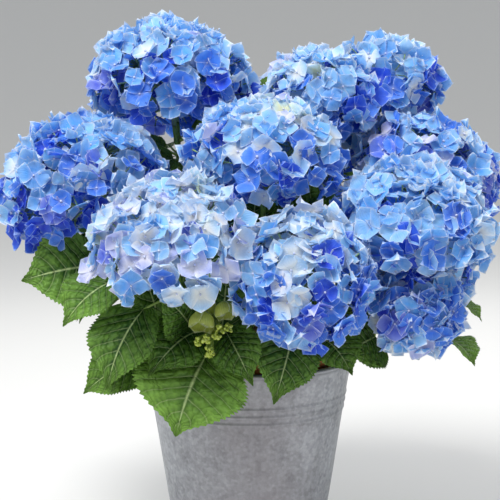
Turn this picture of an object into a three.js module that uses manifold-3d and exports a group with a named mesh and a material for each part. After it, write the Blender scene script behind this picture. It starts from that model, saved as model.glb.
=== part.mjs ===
// A potted hydrangea shrub: blue mophead flowers on leafy shoots, in a terracotta-coloured pot inside a zinc
// bucket. Millimetres, +Z up, the origin at the centre of the bucket's flat underside. The front faces -Y.
import * as THREE from "three";
import { mergeVertices } from "three/addons/utils/BufferGeometryUtils.js";
import Module from "manifold-3d";

const wasm = await Module();
wasm.setup();

const { Vector3, MathUtils } = THREE;
const point = (x, y, z) => new Vector3(x, y, z);
const UP = point(0, 0, 1);
const LEVEL_REFERENCE = point(0.36, 0.93, 0); // for limbs, which never lie along it
const TALL_REFERENCE = point(0.31, 0.17, 0.93); // for florets

// Driving dimensions
const CLEARANCE = 0.3; // between two pieces that rest on or meet each other
const BUCKET = {
  height: 230,
  footRadius: 82,
  mouthRadius: 118.2,
  wall: 1.4,
  floor: 2,
  beadRadius: 3,
  ribHeights: [172, 180.5, 189],
  ribHalfWidth: 2.4,
  ribDepth: 1.3,
  segments: 28,
};
const POT = {
  footRadius: 72,
  neckRadius: 101,
  collarRadius: 106,
  collarHeight: 16,
  top: 244,
  wall: 2.4,
  floor: 3,
  segments: 32,
};
const SOIL_TOP = 234;
const CANE = { footRadius: 6, tipRadius: 4.4, sides: 6, steps: 4 };
const SHOOT = { footRadius: 3.7, neckRadius: 2.8, sides: 5, steps: 6, lift: 0.42, headPull: 0.336 };
const HEAD = {
  skirtCosine: -0.36, // florets reach this far below the widest ring
  underside: 0.55, // the depth under the widest ring, as a share of the rise
  coreShare: 0.72,
  floretCount: 18,
  floretShare: 0.295, // from a floret's middle to its tips, as a share of the head's radius
  floretDish: 4,
  floretTilt: 0.3,
  riseScatter: 0.03,
  turnScatter: 0.15,
  rootShare: 0.3,
  neckLength: 8,
  stemClearance: 6,
};
const LEAF = {
  petiole: 26,
  petioleHalfWidth: 1.5,
  longest: 112,
  shortest: 88,
  widthShare: 0.68,
  thickness: 1.4,
  sag: 0.16,
  fold: 0.14,
  bladeRows: [[0.3, 1], [0.68, 0.72]], // how far along, and how much of the full width is reached there
  clearance: 3.5,
  levels: [0.32, 0.52, 0.72, 0.9], // up a shoot, as shares of its length
  turnScatter: 0.25,
  leastDroop: 0.25,
  mostDroop: 0.75,
  petioleRise: 0.55,
  faceLean: 0.4,
  highest: 548,
  furthest: 262,
  rimRise: 6,
  rimClearance: 10,
  frontPlane: -70, // in front of this and below frontTop, only the leaves set by hand grow
  frontTop: 300,
};
const FRONT_LEAF = { rootSamples: 24, firstRoot: 4, lastRoot: 20, sideFacing: 0.3, upFacing: 0.7 };

// Each cane rises from the soil: its foot there and its tip.
const CANES = [
  { place: "front_left", foot: [-30, -38], tip: [-46, -62, 292] },
  { place: "front", foot: [6, -44], tip: [18, -62, 300] },
  { place: "front_right", foot: [46, -34], tip: [80, -50, 286] },
  { place: "right", foot: [64, 4], tip: [98, 14, 296] },
  { place: "back_right", foot: [46, 42], tip: [72, 64, 300] },
  { place: "back", foot: [2, 58], tip: [2, 88, 300] },
  { place: "back_left", foot: [-40, 46], tip: [-60, 72, 296] },
  { place: "left", foot: [-64, 4], tip: [-92, 6, 290] },
  { place: "middle", foot: [-10, 4], tip: [-22, 12, 306] },
];

// The flower heads. Each row: place, centre of its widest ring, the way its top leans, radius, rise above
// that ring, the cane its shoot grows from, and where on it: 1 at its tip, less on its side at that share.
const HEADS = [
  ["top_left", [-90, 40, 530], [-0.1, -0.12], 97, 84, "middle", 1],
  ["left", [-184, -28, 420], [-0.45, -0.2], 96, 84, "left", 1],
  ["centre", [15, -58, 446], [0, -0.28], 91, 76, "front", 1],
  ["low_left", [-78, -150, 366], [-0.15, -0.8], 90, 70, "front_left", 1],
  ["low_middle", [56, -152, 334], [0.1, -1.1], 78, 68, "front", 0.55],
  ["top_middle", [86, 36, 512], [0.05, -0.2], 75, 68, "middle", 0.6],
  ["top_right", [160, 84, 530], [0.25, 0], 70, 68, "back_right", 0.5],
  ["right", [204, 28, 428], [0.45, -0.05], 91, 78, "right", 1],
  ["front_right", [174, -94, 382], [0.3, -0.6], 88, 74, "front_right", 1],
  ["low_right", [176, -100, 302], [1, -1.9], 68, 58, "front_right", 0.5],
  ["back_top", [82, 172, 518], [0, 0.3], 74, 64, "back", 0.5],
  ["back_left", [-92, 170, 524], [-0.1, 0.4], 82, 70, "back_left", 1],
  ["left_back", [-196, 112, 404], [-0.6, 0.4], 80, 68, "left", 0.5],
  ["back_middle", [10, 196, 430], [0, 0.7], 82, 68, "back", 1],
  ["back_right", [158, 172, 424], [0.45, 0.5], 82, 70, "back_right", 1],
  ["right_low", [208, 104, 322], [0.9, 0.45], 72, 60, "right", 0.5],
  ["back_low", [-98, 186, 350], [-0.5, 0.9], 80, 66, "back_left", 0.5],
].map(([place, at, lean, radius, rise, cane, joint]) => ({ place, at, lean, radius, rise, cane, joint }));

// A half-open head of yellow-green buds, low in front.
const YOUNG_HEAD = {
  at: [-38, -128, 288],
  lean: [0, -0.9],
  radius: 28,
  buds: 14,
  budRadius: 4.5,
  halfOpenRadius: 12,
  halfOpenEvery: 6,
  cane: "front_left",
  joint: 0.6,
};

// The leaves that show in front: the shoot of each, the base and the tip of its blade, and its width.
const FRONT_LEAVES = [
  { shoot: "left", base: [-166, -60, 339], tip: [-244, -88, 326], width: 80 },
  { shoot: "left", base: [-141, -88, 328], tip: [-196, -116, 281], width: 60 },
  { shoot: "low_left", base: [-111, -104, 299], tip: [-148, -136, 218], width: 70 },
  { shoot: "low_left", base: [-110, -86, 242], tip: [-177, -104, 206], width: 60 },
  { shoot: "low_left", base: [-55, -90, 272], tip: [-104, -148, 234], width: 66 },
  { shoot: "low_left", base: [-63, -94, 278], tip: [-93, -146, 325], width: 54 },
  { shoot: "young", base: [-46, -112, 248], tip: [-76, -150, 171], width: 112 },
  { shoot: "young", base: [-24, -106, 274], tip: [7, -156, 226], width: 60 },
  { shoot: "low_middle", base: [45, -104, 275], tip: [24, -150, 205], width: 74 },
  { shoot: "low_middle", base: [80, -78, 262], tip: [110, -118, 229], width: 54 },
  { shoot: "low_right", base: [141, -46, 258], tip: [100, -88, 246], width: 64 },
  { shoot: "low_right", base: [206, -44, 261], tip: [240, -78, 238], width: 54 },
  { shoot: "right", base: [228, -34, 294], tip: [258, -50, 275], width: 38 },
  { shoot: "top_left", base: [-10, 92, 466], tip: [30, 106, 554], width: 40, face: [0, -1, 0.2] },
  { shoot: "top_left", base: [-86, 24, 452], tip: [-126, 16, 430], width: 46, face: [-0.2, -1, 0.5] },
  { shoot: "top_left", base: [-58, 32, 438], tip: [-8, 30, 384], width: 66, face: [0, -1, 0.3] },
  { shoot: "top_left", base: [-58, 50, 456], tip: [-14, 74, 492], width: 50, face: [0.1, -1, 0.3] },
];

// Colours seen in the photograph, with how rough and metallic each surface is
const FINISHES = {
  zinc: { color: 0x94969a, roughness: 0.5, metalness: 0.85 },
  terracotta: { color: 0xb4623a, roughness: 0.7, metalness: 0 },
  soil: { color: 0x3a2b20, roughness: 1, metalness: 0 },
  cane: { color: 0x6f6a3c, roughness: 0.8, metalness: 0 },
  leaf: { color: 0x3f6a28, roughness: 0.55, metalness: 0 },
  blossom: { color: 0x6f96e6, roughness: 0.6, metalness: 0 },
  paleBlossom: { color: 0xb9c4ee, roughness: 0.6, metalness: 0 },
  bud: { color: 0xb4c04e, roughness: 0.6, metalness: 0 },
};
const PALE_HEADS = ["low_left", "low_middle"];

// Where each part's stream of random numbers starts
const SEEDS = { heads: 11, youngHead: 90, leaves: 210 };

// A repeatable stream of numbers from 0 to 1.
function seeded(seed) {
  let state = seed >>> 0;
  return () => {
    state = (state + 0x6d2b79f5) >>> 0;
    let mixed = Math.imul(state ^ (state >>> 15), state | 1);
    mixed ^= mixed + Math.imul(mixed ^ (mixed >>> 7), mixed | 61);
    return ((mixed ^ (mixed >>> 14)) >>> 0) / 2 ** 32;
  };
}

const scatter = (random, most) => (random() * 2 - 1) * most;

// Solids and meshes

// The bare closed surface of a geometry: positions only, shared corners merged, collapsed faces dropped.
function bare(geometry) {
  const copy = geometry.clone();
  copy.deleteAttribute("normal");
  copy.deleteAttribute("uv");
  const merged = mergeVertices(copy, 1e-4);
  const corners = [];
  for (let i = 0; i < merged.index.count; i += 3) {
    const [a, b, c] = [0, 1, 2].map((k) => merged.index.getX(i + k));
    if (a !== b && b !== c && c !== a) corners.push(a, b, c);
  }
  merged.setIndex(corners);
  return merged;
}

// A geometry with every corner moved to where place() puts it.
function shaped(geometry, place) {
  const surface = bare(geometry);
  const positions = surface.attributes.position;
  for (let i = 0; i < positions.count; i++) {
    const moved = place(new Vector3().fromBufferAttribute(positions, i));
    positions.setXYZ(i, moved.x, moved.y, moved.z);
  }
  return bare(surface);
}

function solidOf(geometry) {
  const surface = bare(geometry);
  const vertProperties = new Float32Array(surface.attributes.position.array);
  const triVerts = new Uint32Array(surface.index.array);
  return new wasm.Manifold(new wasm.Mesh({ numProp: 3, vertProperties, triVerts }));
}

function geometryOf(solid) {
  const mesh = solid.getMesh();
  const geometry = new THREE.BufferGeometry();
  geometry.setAttribute("position", new THREE.BufferAttribute(new Float32Array(mesh.vertProperties), 3));
  geometry.setIndex(new THREE.BufferAttribute(new Uint32Array(mesh.triVerts), 1));
  return geometry;
}

function fused(geometries) {
  return geometries.map(solidOf).reduce((whole, piece) => whole.add(piece));
}

// A solid turned about the vertical axis, from an outline of [radius, height] pairs.
function turned(outline, segments) {
  const profile = outline.map(([radius, height]) => new THREE.Vector2(radius, height));
  return new THREE.LatheGeometry(profile, segments).rotateX(Math.PI / 2);
}

// Two unit directions square to a third and to each other, the first also square to a reference.
function crosswise(direction, reference) {
  const side = new Vector3().crossVectors(direction, reference).normalize();
  return [side, new Vector3().crossVectors(direction, side)];
}

// A closed tapering limb along a curve, flat at both ends.
function limb(curve, footRadius, tipRadius, sides, steps) {
  const rod = new THREE.CylinderGeometry(1, 1, 1, sides, steps);
  return shaped(rod, ({ x, y, z }) => {
    const t = y + 0.5;
    const [side, third] = crosswise(curve.getTangent(t), LEVEL_REFERENCE);
    const radius = MathUtils.lerp(footRadius, tipRadius, t);
    return curve.getPoint(t).addScaledVector(side, x * radius).addScaledVector(third, -z * radius);
  });
}

// A closed thin blade from rows of four corners each: left, top, right, underside. The last row is one point.
function blade(rows) {
  const corners = rows.flat();
  const faces = [0, 2, 1, 0, 3, 2];
  for (let row = 0; row < rows.length - 1; row++) {
    for (let side = 0; side < 4; side++) {
      const a = row * 4 + side;
      const b = row * 4 + ((side + 1) % 4);
      const [c, d] = [a + 4, b + 4];
      // The upper and the lower face are split along the same line, from a margin to the midrib.
      if (side % 2 === 0) faces.push(a, b, d, a, d, c);
      else faces.push(a, b, c, b, d, c);
    }
  }
  const geometry = new THREE.BufferGeometry().setFromPoints(corners);
  geometry.setIndex(faces);
  return geometry;
}

// The pot and the bucket

function bucketRadius(height) {
  return MathUtils.lerp(BUCKET.footRadius, BUCKET.mouthRadius, height / BUCKET.height);
}

// Outer wall with its rolled ribs, the bead round the mouth, then down the inner wall to the flat floor.
function zincBucket() {
  const { ribHalfWidth, ribDepth, beadRadius, height, wall, floor } = BUCKET;
  const outline = [[0, 0], [BUCKET.footRadius, 0]];
  for (const at of BUCKET.ribHeights) {
    outline.push([bucketRadius(at - ribHalfWidth), at - ribHalfWidth]);
    outline.push([bucketRadius(at) + ribDepth, at]);
    outline.push([bucketRadius(at + ribHalfWidth), at + ribHalfWidth]);
  }
  const beadHeight = height - beadRadius;
  const beadCentre = bucketRadius(beadHeight) - wall / 2;
  for (const degrees of [-75, -20, 35, 90, 145, 200, 255]) {
    const angle = MathUtils.degToRad(degrees);
    outline.push([beadCentre + beadRadius * Math.cos(angle), beadHeight + beadRadius * Math.sin(angle)]);
  }
  outline.push([bucketRadius(floor) - wall, floor], [0, floor]);
  return turned(outline, BUCKET.segments);
}

function nurseryPot() {
  const bottom = BUCKET.floor + CLEARANCE;
  const collarBottom = POT.top - POT.collarHeight;
  return turned(
    [
      [0, bottom],
      [POT.footRadius, bottom],
      [POT.neckRadius, collarBottom],
      [POT.collarRadius, collarBottom],
      [POT.collarRadius, POT.top],
      [POT.neckRadius - POT.wall, POT.top],
      [POT.footRadius - POT.wall, bottom + POT.floor],
      [0, bottom + POT.floor],
    ],
    POT.segments,
  );
}

function pottingMix() {
  const bottom = BUCKET.floor + POT.floor + 2 * CLEARANCE;
  const potBottom = BUCKET.floor + CLEARANCE + POT.floor;
  const share = (height) => (height - potBottom) / (POT.top - potBottom);
  const inner = (height) => MathUtils.lerp(POT.footRadius, POT.neckRadius, share(height)) - POT.wall;
  const footRadius = inner(bottom) - 2 * CLEARANCE;
  const topRadius = inner(SOIL_TOP) - 2 * CLEARANCE;
  return turned([[0, bottom], [footRadius, bottom], [topRadius, SOIL_TOP], [0, SOIL_TOP]], POT.segments);
}

// Canes and shoots

// Straight up out of the soil, then leaning to the tip.
function caneCurve({ foot, tip }) {
  const start = point(foot[0], foot[1], SOIL_TOP + CLEARANCE);
  const end = point(...tip);
  const bend = point(foot[0], foot[1], MathUtils.lerp(start.z, end.z, 0.5));
  return new THREE.QuadraticBezierCurve3(start, bend, end);
}

const caneOf = (head) => CANES.find((cane) => cane.place === head.cane);
const fromSide = (head) => head.joint < 1;
const axisOf = (lean) => point(lean[0], lean[1], 1).normalize();

// The point under a head where its own short stem ends and the shoot's begins.
function neckOf(head) {
  const coreDepth = head.rise * HEAD.underside * HEAD.coreShare;
  return point(...head.at).addScaledVector(axisOf(head.lean), -coreDepth - HEAD.neckLength);
}

// From the tip or the side of its cane, up and out to the neck of its head.
function shootCurve(head) {
  const cane = caneCurve(caneOf(head));
  const along = cane.getTangent(head.joint);
  const end = neckOf(head);
  const start = cane.getPoint(head.joint).addScaledVector(along, fromSide(head) ? 0 : CLEARANCE);
  const length = start.distanceTo(end);
  const leave = fromSide(head) ? along.add(end.clone().sub(start).normalize()).normalize() : along;
  const first = start.clone().addScaledVector(leave, length * SHOOT.lift);
  const last = end.clone().addScaledVector(axisOf(head.lean), -length * SHOOT.headPull);
  return new THREE.CubicBezierCurve3(start, first, last, end);
}

function shootStem(head) {
  return limb(shootCurve(head), SHOOT.footRadius, SHOOT.neckRadius, SHOOT.sides, SHOOT.steps);
}

function caneLimb(cane, extra = 0) {
  return limb(caneCurve(cane), CANE.footRadius + extra, CANE.tipRadius + extra, CANE.sides, CANE.steps);
}

// Flower heads

// How far a head reaches from its centre in a direction: a flattened dome, pressed flat beside a neighbour.
function headReach(head, direction) {
  let reach = domeReach(head, direction);
  for (const { normal, distance } of head.walls) {
    const slope = direction.dot(normal);
    if (slope > 0) reach = Math.min(reach, distance / slope);
  }
  return reach;
}

function domeReach(head, direction) {
  const rise = direction.dot(head.axis);
  const depth = rise > 0 ? head.rise : head.rise * HEAD.underside;
  return 1 / Math.hypot(Math.sqrt(Math.max(0, 1 - rise * rise)) / head.radius, rise / depth);
}

// The plane half way between the domes of two neighbours, which neither crosses.
function wallBetween(head, other) {
  const normal = other.centre.clone().sub(head.centre);
  const apart = normal.length();
  normal.normalize();
  const mine = domeReach(head, normal);
  const theirs = domeReach(other, normal.clone().negate());
  return { normal, distance: (apart * mine) / (mine + theirs) - CLEARANCE };
}

// Directions spread evenly over the dome, from its top down to the skirt, each with a little of its own.
function floretDirections(head, count, random) {
  const [side, third] = crosswise(head.axis, LEVEL_REFERENCE);
  const golden = Math.PI * (3 - Math.sqrt(5));
  return Array.from({ length: count }, (_, i) => {
    const level = 1 - ((i + 0.5) / count) * (1 - HEAD.skirtCosine);
    const rise = level + scatter(random, HEAD.riseScatter);
    const turn = i * golden + scatter(random, HEAD.turnScatter);
    const out = Math.sqrt(Math.max(0, 1 - rise * rise));
    const across = side.clone().multiplyScalar(Math.cos(turn)).addScaledVector(third, Math.sin(turn));
    return head.axis.clone().multiplyScalar(rise).addScaledVector(across, out).normalize();
  });
}

// A closed form with four corners round a centre, in the plane that faces a direction, a top and a root.
function fourCornered({ centre, facing, turn, span, top, root }, keep = (corner) => corner) {
  const turned = (across) => across.applyAxisAngle(facing, turn);
  const [side, third] = crosswise(facing, TALL_REFERENCE).map(turned);
  return shaped(new THREE.OctahedronGeometry(1), ({ x, y, z }) => {
    if (z > 0.5) return top.clone();
    if (z < -0.5) return root.clone();
    return keep(centre.clone().addScaledVector(side, x * span).addScaledVector(third, y * span));
  });
}

// A four-cornered floret, dished in the middle, on a root that tapers down into the core.
function floret(head, direction, random) {
  const reach = headReach(head, direction);
  const centre = head.centre.clone().addScaledVector(direction, reach - HEAD.floretDish);
  const tilt = () => scatter(random, HEAD.floretTilt);
  const form = {
    centre,
    facing: direction.clone().add(point(tilt(), tilt(), tilt())).normalize(),
    turn: random() * Math.PI,
    span: head.radius * HEAD.floretShare,
    top: centre.clone().addScaledVector(direction, -HEAD.floretDish),
    root: head.centre.clone().addScaledVector(direction, reach * HEAD.rootShare),
  };
  return fourCornered(form, (corner) => insideHead(head, corner));
}

// A point drawn in towards the head's centre until it lies within the head's reach.
function insideHead(head, place) {
  const offset = place.clone().sub(head.centre);
  const direction = offset.clone().normalize();
  const reach = headReach(head, direction);
  return offset.length() > reach ? head.centre.clone().addScaledVector(direction, reach) : place;
}

// A floret that would touch a stem is left out.
function floretFits(geometry, lines) {
  const corners = geometry.attributes.position;
  return Array.from({ length: corners.count }, (_, i) => new Vector3().fromBufferAttribute(corners, i))
    .every((corner) => lines.every((line) => distanceToStem(corner, line) > HEAD.stemClearance));
}

// The short stem inside a head, which meets its shoot just clear.
function neckLimb(head) {
  const foot = neckOf(head).addScaledVector(head.axis, CLEARANCE);
  const middle = new THREE.LineCurve3(foot, head.centre);
  return limb(middle, SHOOT.neckRadius, SHOOT.neckRadius, SHOOT.sides, 1);
}

function flowerHead(head, lines) {
  const random = seeded(head.seed);
  const core = shaped(new THREE.SphereGeometry(1, 7, 4), (corner) => {
    const direction = corner.normalize();
    return head.centre.clone().addScaledVector(direction, headReach(head, direction) * HEAD.coreShare);
  });
  const florets = floretDirections(head, HEAD.floretCount, random)
    .map((direction) => floret(head, direction, random))
    .filter((geometry) => floretFits(geometry, lines));
  return fused([core, neckLimb(head), ...florets]);
}

// Leaves

// The rows of a leaf from its root in the stem, through its petiole, to the tip of its blade.
function leafRows({ root, base, tip, face, width }) {
  const chord = tip.clone().sub(base);
  const left = new Vector3().crossVectors(face, chord).normalize();
  const up = new Vector3().crossVectors(chord, left).normalize();
  const half = LEAF.thickness / 2;
  const stalk = LEAF.petioleHalfWidth;
  const row = (middle, halfWidth, thick, lift) => [
    middle.clone().addScaledVector(left, halfWidth).addScaledVector(up, lift),
    middle.clone().addScaledVector(up, thick),
    middle.clone().addScaledVector(left, -halfWidth).addScaledVector(up, lift),
    middle.clone().addScaledVector(up, -thick),
  ];
  const bladeRow = (t, share) => {
    const sag = 4 * t * (1 - t) * LEAF.sag * chord.length();
    const middle = base.clone().addScaledVector(chord, t).addScaledVector(up, sag);
    const halfWidth = (share * width) / 2;
    return row(middle, halfWidth, half, halfWidth * LEAF.fold);
  };
  const [wide, narrow] = LEAF.bladeRows.map(([t, share]) => bladeRow(t, share));
  return [row(root, stalk, stalk, 0), row(base, stalk, stalk, 0), wide, narrow, row(tip, 0, 0, 0)];
}

// Points along a leaf's petiole and over its blade, which have to lie in the open.
function leafSamples(leaf) {
  const [root, base, wide, narrow, tip] = leafRows(leaf);
  const middle = (a, b) => a.clone().lerp(b, 0.5);
  const shoulders = [middle(base[0], wide[0]), middle(base[2], wide[2]), middle(base[1], wide[1])];
  const waist = [0, 1, 2].map((side) => middle(wide[side], narrow[side]));
  const ends = [0, 1, 2].map((side) => middle(narrow[side], tip[side]));
  const petiole = [middle(root[1], base[1]), base[1]];
  return [...petiole, ...shoulders, ...wide.slice(0, 3), ...waist, ...narrow.slice(0, 3), ...ends, tip[1]];
}

// The distance from a point to the middle line of a stem.
function distanceToStem(place, line) {
  let nearest = Infinity;
  const closest = new Vector3();
  for (const segment of line) {
    segment.closestPointToPoint(place, true, closest);
    nearest = Math.min(nearest, closest.distanceTo(place));
  }
  return nearest;
}

function middleLine(curve, count) {
  const points = curve.getPoints(count);
  return points.slice(1).map((end, i) => new THREE.Line3(points[i], end));
}

// A leaf keeps to its own shoot's space: clear of every head and of the rims, and nearer to its own stem than
// to any other.
function leafFits(leaf, own, ownCane, stems, heads) {
  return leafSamples(leaf).every((place) => {
    const out = Math.hypot(place.x, place.y);
    if (place.z > LEAF.highest || out > LEAF.furthest) return false;
    if (place.z < POT.top + LEAF.rimRise && out < bucketRadius(place.z) + LEAF.rimClearance) return false;
    if (place.y < LEAF.frontPlane && place.z < LEAF.frontTop) return false;
    const inHead = heads.some((head) => {
      const offset = place.clone().sub(head.centre);
      const distance = offset.length();
      return distance < headReach(head, offset.normalize()) + LEAF.clearance;
    });
    if (inHead) return false;
    if (distanceToStem(place, ownCane.line) < CANE.footRadius + LEAF.clearance) return false;
    const mine = distanceToStem(place, own.line);
    return stems.every((stem) => stem === own || distanceToStem(place, stem.line) > mine + LEAF.clearance);
  });
}

// The leaf that grows from a stem at t, turned by an angle about it, and drooping outward.
function growingLeaf(stem, t, turn, length, droop) {
  const root = stem.curve.getPoint(t);
  const along = stem.curve.getTangent(t);
  const outward = point(root.x, root.y, 0).normalize();
  const flat = outward.clone().applyAxisAngle(UP, turn);
  const rising = flat.clone().addScaledVector(along, LEAF.petioleRise).normalize();
  const base = root.clone().addScaledVector(rising, LEAF.petiole);
  const hanging = flat.clone().addScaledVector(UP, -droop).normalize();
  const tip = base.clone().addScaledVector(hanging, length);
  const face = UP.clone().addScaledVector(flat, LEAF.faceLean);
  return { root, base, tip, face, width: length * LEAF.widthShare };
}

// How a leaf may change to find room: its size, its turn about the stem, and how far it is lifted.
const LEAF_TRIES = [1, 0.84, 0.7, 0.56].flatMap((size) =>
  [0, 0.5, 1].flatMap((lift) => [0, 0.4, -0.4, 0.8, -0.8].map((swing) => [size, swing, lift])),
);

// Opposite pairs of leaves up a shoot, each pair a quarter turn from the last. A leaf that finds no room is
// turned a little or made smaller, and left out where that doesn't help.
function pairedLeaves(stem, ownCane, stems, heads, random) {
  const leaves = [];
  LEAF.levels.forEach((level, pair) => {
    for (const half of [0, 1]) {
      const turn = (pair % 2) * (Math.PI / 2) + half * Math.PI + scatter(random, LEAF.turnScatter);
      const length = MathUtils.lerp(LEAF.shortest, LEAF.longest, random());
      const droop = MathUtils.lerp(LEAF.leastDroop, LEAF.mostDroop, random());
      for (const [size, swing, lift] of LEAF_TRIES) {
        const leaf = growingLeaf(stem, level, turn + swing, length * size, droop - lift);
        if (leafFits(leaf, stem, ownCane, stems, heads)) {
          leaves.push(leaf);
          break;
        }
      }
    }
  });
  return leaves;
}

// A leaf set by hand: its petiole comes from the nearest point of its shoot.
function frontLeaf({ base, tip, width, face }, stem) {
  const from = point(...base);
  const { rootSamples, firstRoot, lastRoot } = FRONT_LEAF;
  const nearer = (best, place) => (place.distanceTo(from) < best.distanceTo(from) ? place : best);
  const root = stem.curve.getPoints(rootSamples).slice(firstRoot, lastRoot + 1).reduce(nearer);
  const outward = point(from.x * FRONT_LEAF.sideFacing, from.y, 0).normalize();
  outward.addScaledVector(UP, FRONT_LEAF.upFacing);
  return { root, base: from, tip: point(...tip), face: face ? point(...face) : outward, width };
}

const leafSolid = (leaf) => blade(leafRows(leaf));

// The young head: a few half-open florets above a cluster of small round buds.
function youngHead(head) {
  const random = seeded(SEEDS.youngHead);
  const octahedron = new THREE.OctahedronGeometry(head.radius * HEAD.coreShare);
  const core = shaped(octahedron, (corner) => corner.add(head.centre));
  const buds = floretDirections(head, YOUNG_HEAD.buds, random).map((direction, i) => {
    const halfOpen = i % YOUNG_HEAD.halfOpenEvery === 1;
    const span = halfOpen ? YOUNG_HEAD.halfOpenRadius : YOUNG_HEAD.budRadius;
    const centre = head.centre.clone().addScaledVector(direction, head.radius - span);
    const top = centre.clone().addScaledVector(direction, span);
    return fourCornered({ centre, facing: direction, turn: 0, span, top, root: head.centre });
  });
  return fused([core, neckLimb(head), ...buds]);
}

// Assembly

const shrub = new THREE.Group();

function addPart(name, geometry, finish) {
  const mesh = new THREE.Mesh(geometry, new THREE.MeshStandardMaterial(FINISHES[finish]));
  mesh.name = name;
  shrub.add(mesh);
}

const heads = HEADS.map((head, i) => ({
  ...head,
  seed: SEEDS.heads + i,
  centre: point(...head.at),
  axis: axisOf(head.lean),
}));
const young = {
  ...YOUNG_HEAD,
  place: "young",
  rise: YOUNG_HEAD.radius,
  centre: point(...YOUNG_HEAD.at),
  axis: axisOf(YOUNG_HEAD.lean),
};
const allHeads = [...heads, young];
for (const head of allHeads) {
  head.walls = allHeads.filter((other) => other !== head).map((other) => wallBetween(head, other));
}

addPart("zinc_bucket", bare(zincBucket()), "zinc");
addPart("nursery_pot", bare(nurseryPot()), "terracotta");
addPart("potting_mix", bare(pottingMix()), "soil");

for (const cane of CANES) addPart(`cane_${cane.place}`, caneLimb(cane), "cane");

const shoots = allHeads.map((head) => ({ head, curve: shootCurve(head) }));
for (const shoot of shoots) shoot.line = middleLine(shoot.curve, 8);
const caneLines = CANES.map((cane) => ({ line: middleLine(caneCurve(cane), 4) }));

for (const shoot of shoots) {
  const { head } = shoot;
  const own = caneLines[CANES.indexOf(caneOf(head))];
  const others = [...shoots, ...caneLines.filter((stem) => stem !== own)];
  const random = seeded(SEEDS.leaves + allHeads.indexOf(head));
  const grown = pairedLeaves(shoot, own, others, allHeads, random);
  const inFront = FRONT_LEAVES.filter((leaf) => leaf.shoot === head.place);
  const set = inFront.map((leaf) => frontLeaf(leaf, shoot));
  let solid = fused([shootStem(head), ...[...grown, ...set].map(leafSolid)]);
  if (fromSide(head)) solid = solid.subtract(solidOf(caneLimb(caneOf(head), CLEARANCE)));
  addPart(`leafy_shoot_${head.place}`, geometryOf(solid), "leaf");
}

const lines = shoots.map((shoot) => shoot.line);
for (const head of heads) {
  const finish = PALE_HEADS.includes(head.place) ? "paleBlossom" : "blossom";
  addPart(`flower_head_${head.place}`, geometryOf(flowerHead(head, lines)), finish);
}
addPart("flower_head_young", geometryOf(youngHead(young)), "bud");

export default shrub;
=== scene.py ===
"""A potted hydrangea shrub: blue mophead flowers on leafy shoots, in a terracotta-coloured pot inside a zinc bucket.

The stems, leaves and flower heads grow by the same rules as the CAD solids and stand where those stand, only carried
finer: whole florets of four sepals, serrated leaves with their veins, bark, bucket ribs and crumbs of potting mix.
The rules work in millimetres. A mesh gets metres, in the frame of the CAD.
"""

import functools
import itertools
import math

import bpy
import numpy as np
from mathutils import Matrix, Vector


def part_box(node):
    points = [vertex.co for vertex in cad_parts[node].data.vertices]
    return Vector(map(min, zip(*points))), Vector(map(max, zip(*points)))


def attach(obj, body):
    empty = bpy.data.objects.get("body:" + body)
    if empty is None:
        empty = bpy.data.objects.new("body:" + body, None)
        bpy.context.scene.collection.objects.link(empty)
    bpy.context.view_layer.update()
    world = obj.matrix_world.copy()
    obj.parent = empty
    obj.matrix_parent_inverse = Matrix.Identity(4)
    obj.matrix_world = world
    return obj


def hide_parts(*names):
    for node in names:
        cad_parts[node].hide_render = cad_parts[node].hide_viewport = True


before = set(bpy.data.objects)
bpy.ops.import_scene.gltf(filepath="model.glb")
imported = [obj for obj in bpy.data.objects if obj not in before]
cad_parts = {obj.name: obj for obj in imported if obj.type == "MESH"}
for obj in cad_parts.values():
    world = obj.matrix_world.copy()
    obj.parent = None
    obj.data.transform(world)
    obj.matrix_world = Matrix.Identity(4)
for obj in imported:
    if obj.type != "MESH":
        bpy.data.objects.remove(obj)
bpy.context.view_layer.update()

bl_info = {
    "name": "Potted hydrangea",
    "version": (1, 0, 0),
    "blender": (4, 5, 0),
    "location": "View3D > Sidebar > Hydrangea",
    "description": "Grows a mophead hydrangea in a zinc bucket",
    "category": "Add Mesh",
}

MM = 0.001
UP = np.array([0.0, 0.0, 1.0])
GOLDEN_ANGLE = math.pi * (3 - math.sqrt(5))

# Corners of one sheet nearer than the weld, in metres, are one. The shift keeps round values off the weld's limits.
WELD = 2e-6
WELD_SHIFT = 0.1234

# How much of its cell in the bake map a sheet leaves free on each side
BAKE_MARGIN = 0.04

# Sideways axes come from the cross product with one of these: the level one for what points up, and the tall one for
# what points any way
LEVEL_REFERENCE = np.array([0.36, 0.93, 0.0])
TALL_REFERENCE = np.array([0.31, 0.17, 0.93])

# Sizes of the CAD solids, in millimetres
CLEARANCE = 0.3
SOIL_TOP = 234.0
POT_TOP = 244.0
POT_COLLAR = 16.0
CANE_FOOT_RADIUS = 6.0
CANE_TIP_RADIUS = 4.4
SHOOT_FOOT_RADIUS = 3.7
SHOOT_NECK_RADIUS = 2.8
SHOOT_LIFT = 0.42
SHOOT_HEAD_PULL = 0.336
HEAD_UNDERSIDE = 0.55
HEAD_CORE_SHARE = 0.72
HEAD_NECK_LENGTH = 8.0
LEAF = {
    "petiole": 26.0,
    "petiole_half_width": 1.5,
    "longest": 112.0,
    "shortest": 88.0,
    "width_share": 0.68,
    "thickness": 1.4,
    "sag": 0.16,
    "fold": 0.14,
    "clearance": 3.5,
    "turn_scatter": 0.25,
    "least_droop": 0.25,
    "most_droop": 0.75,
    "petiole_rise": 0.55,
    "face_lean": 0.4,
    "highest": 548.0,
    "furthest": 262.0,
    "rim_rise": 6.0,
    "rim_clearance": 10.0,
    "front_plane": -70.0,
    "front_top": 300.0,
}
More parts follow.
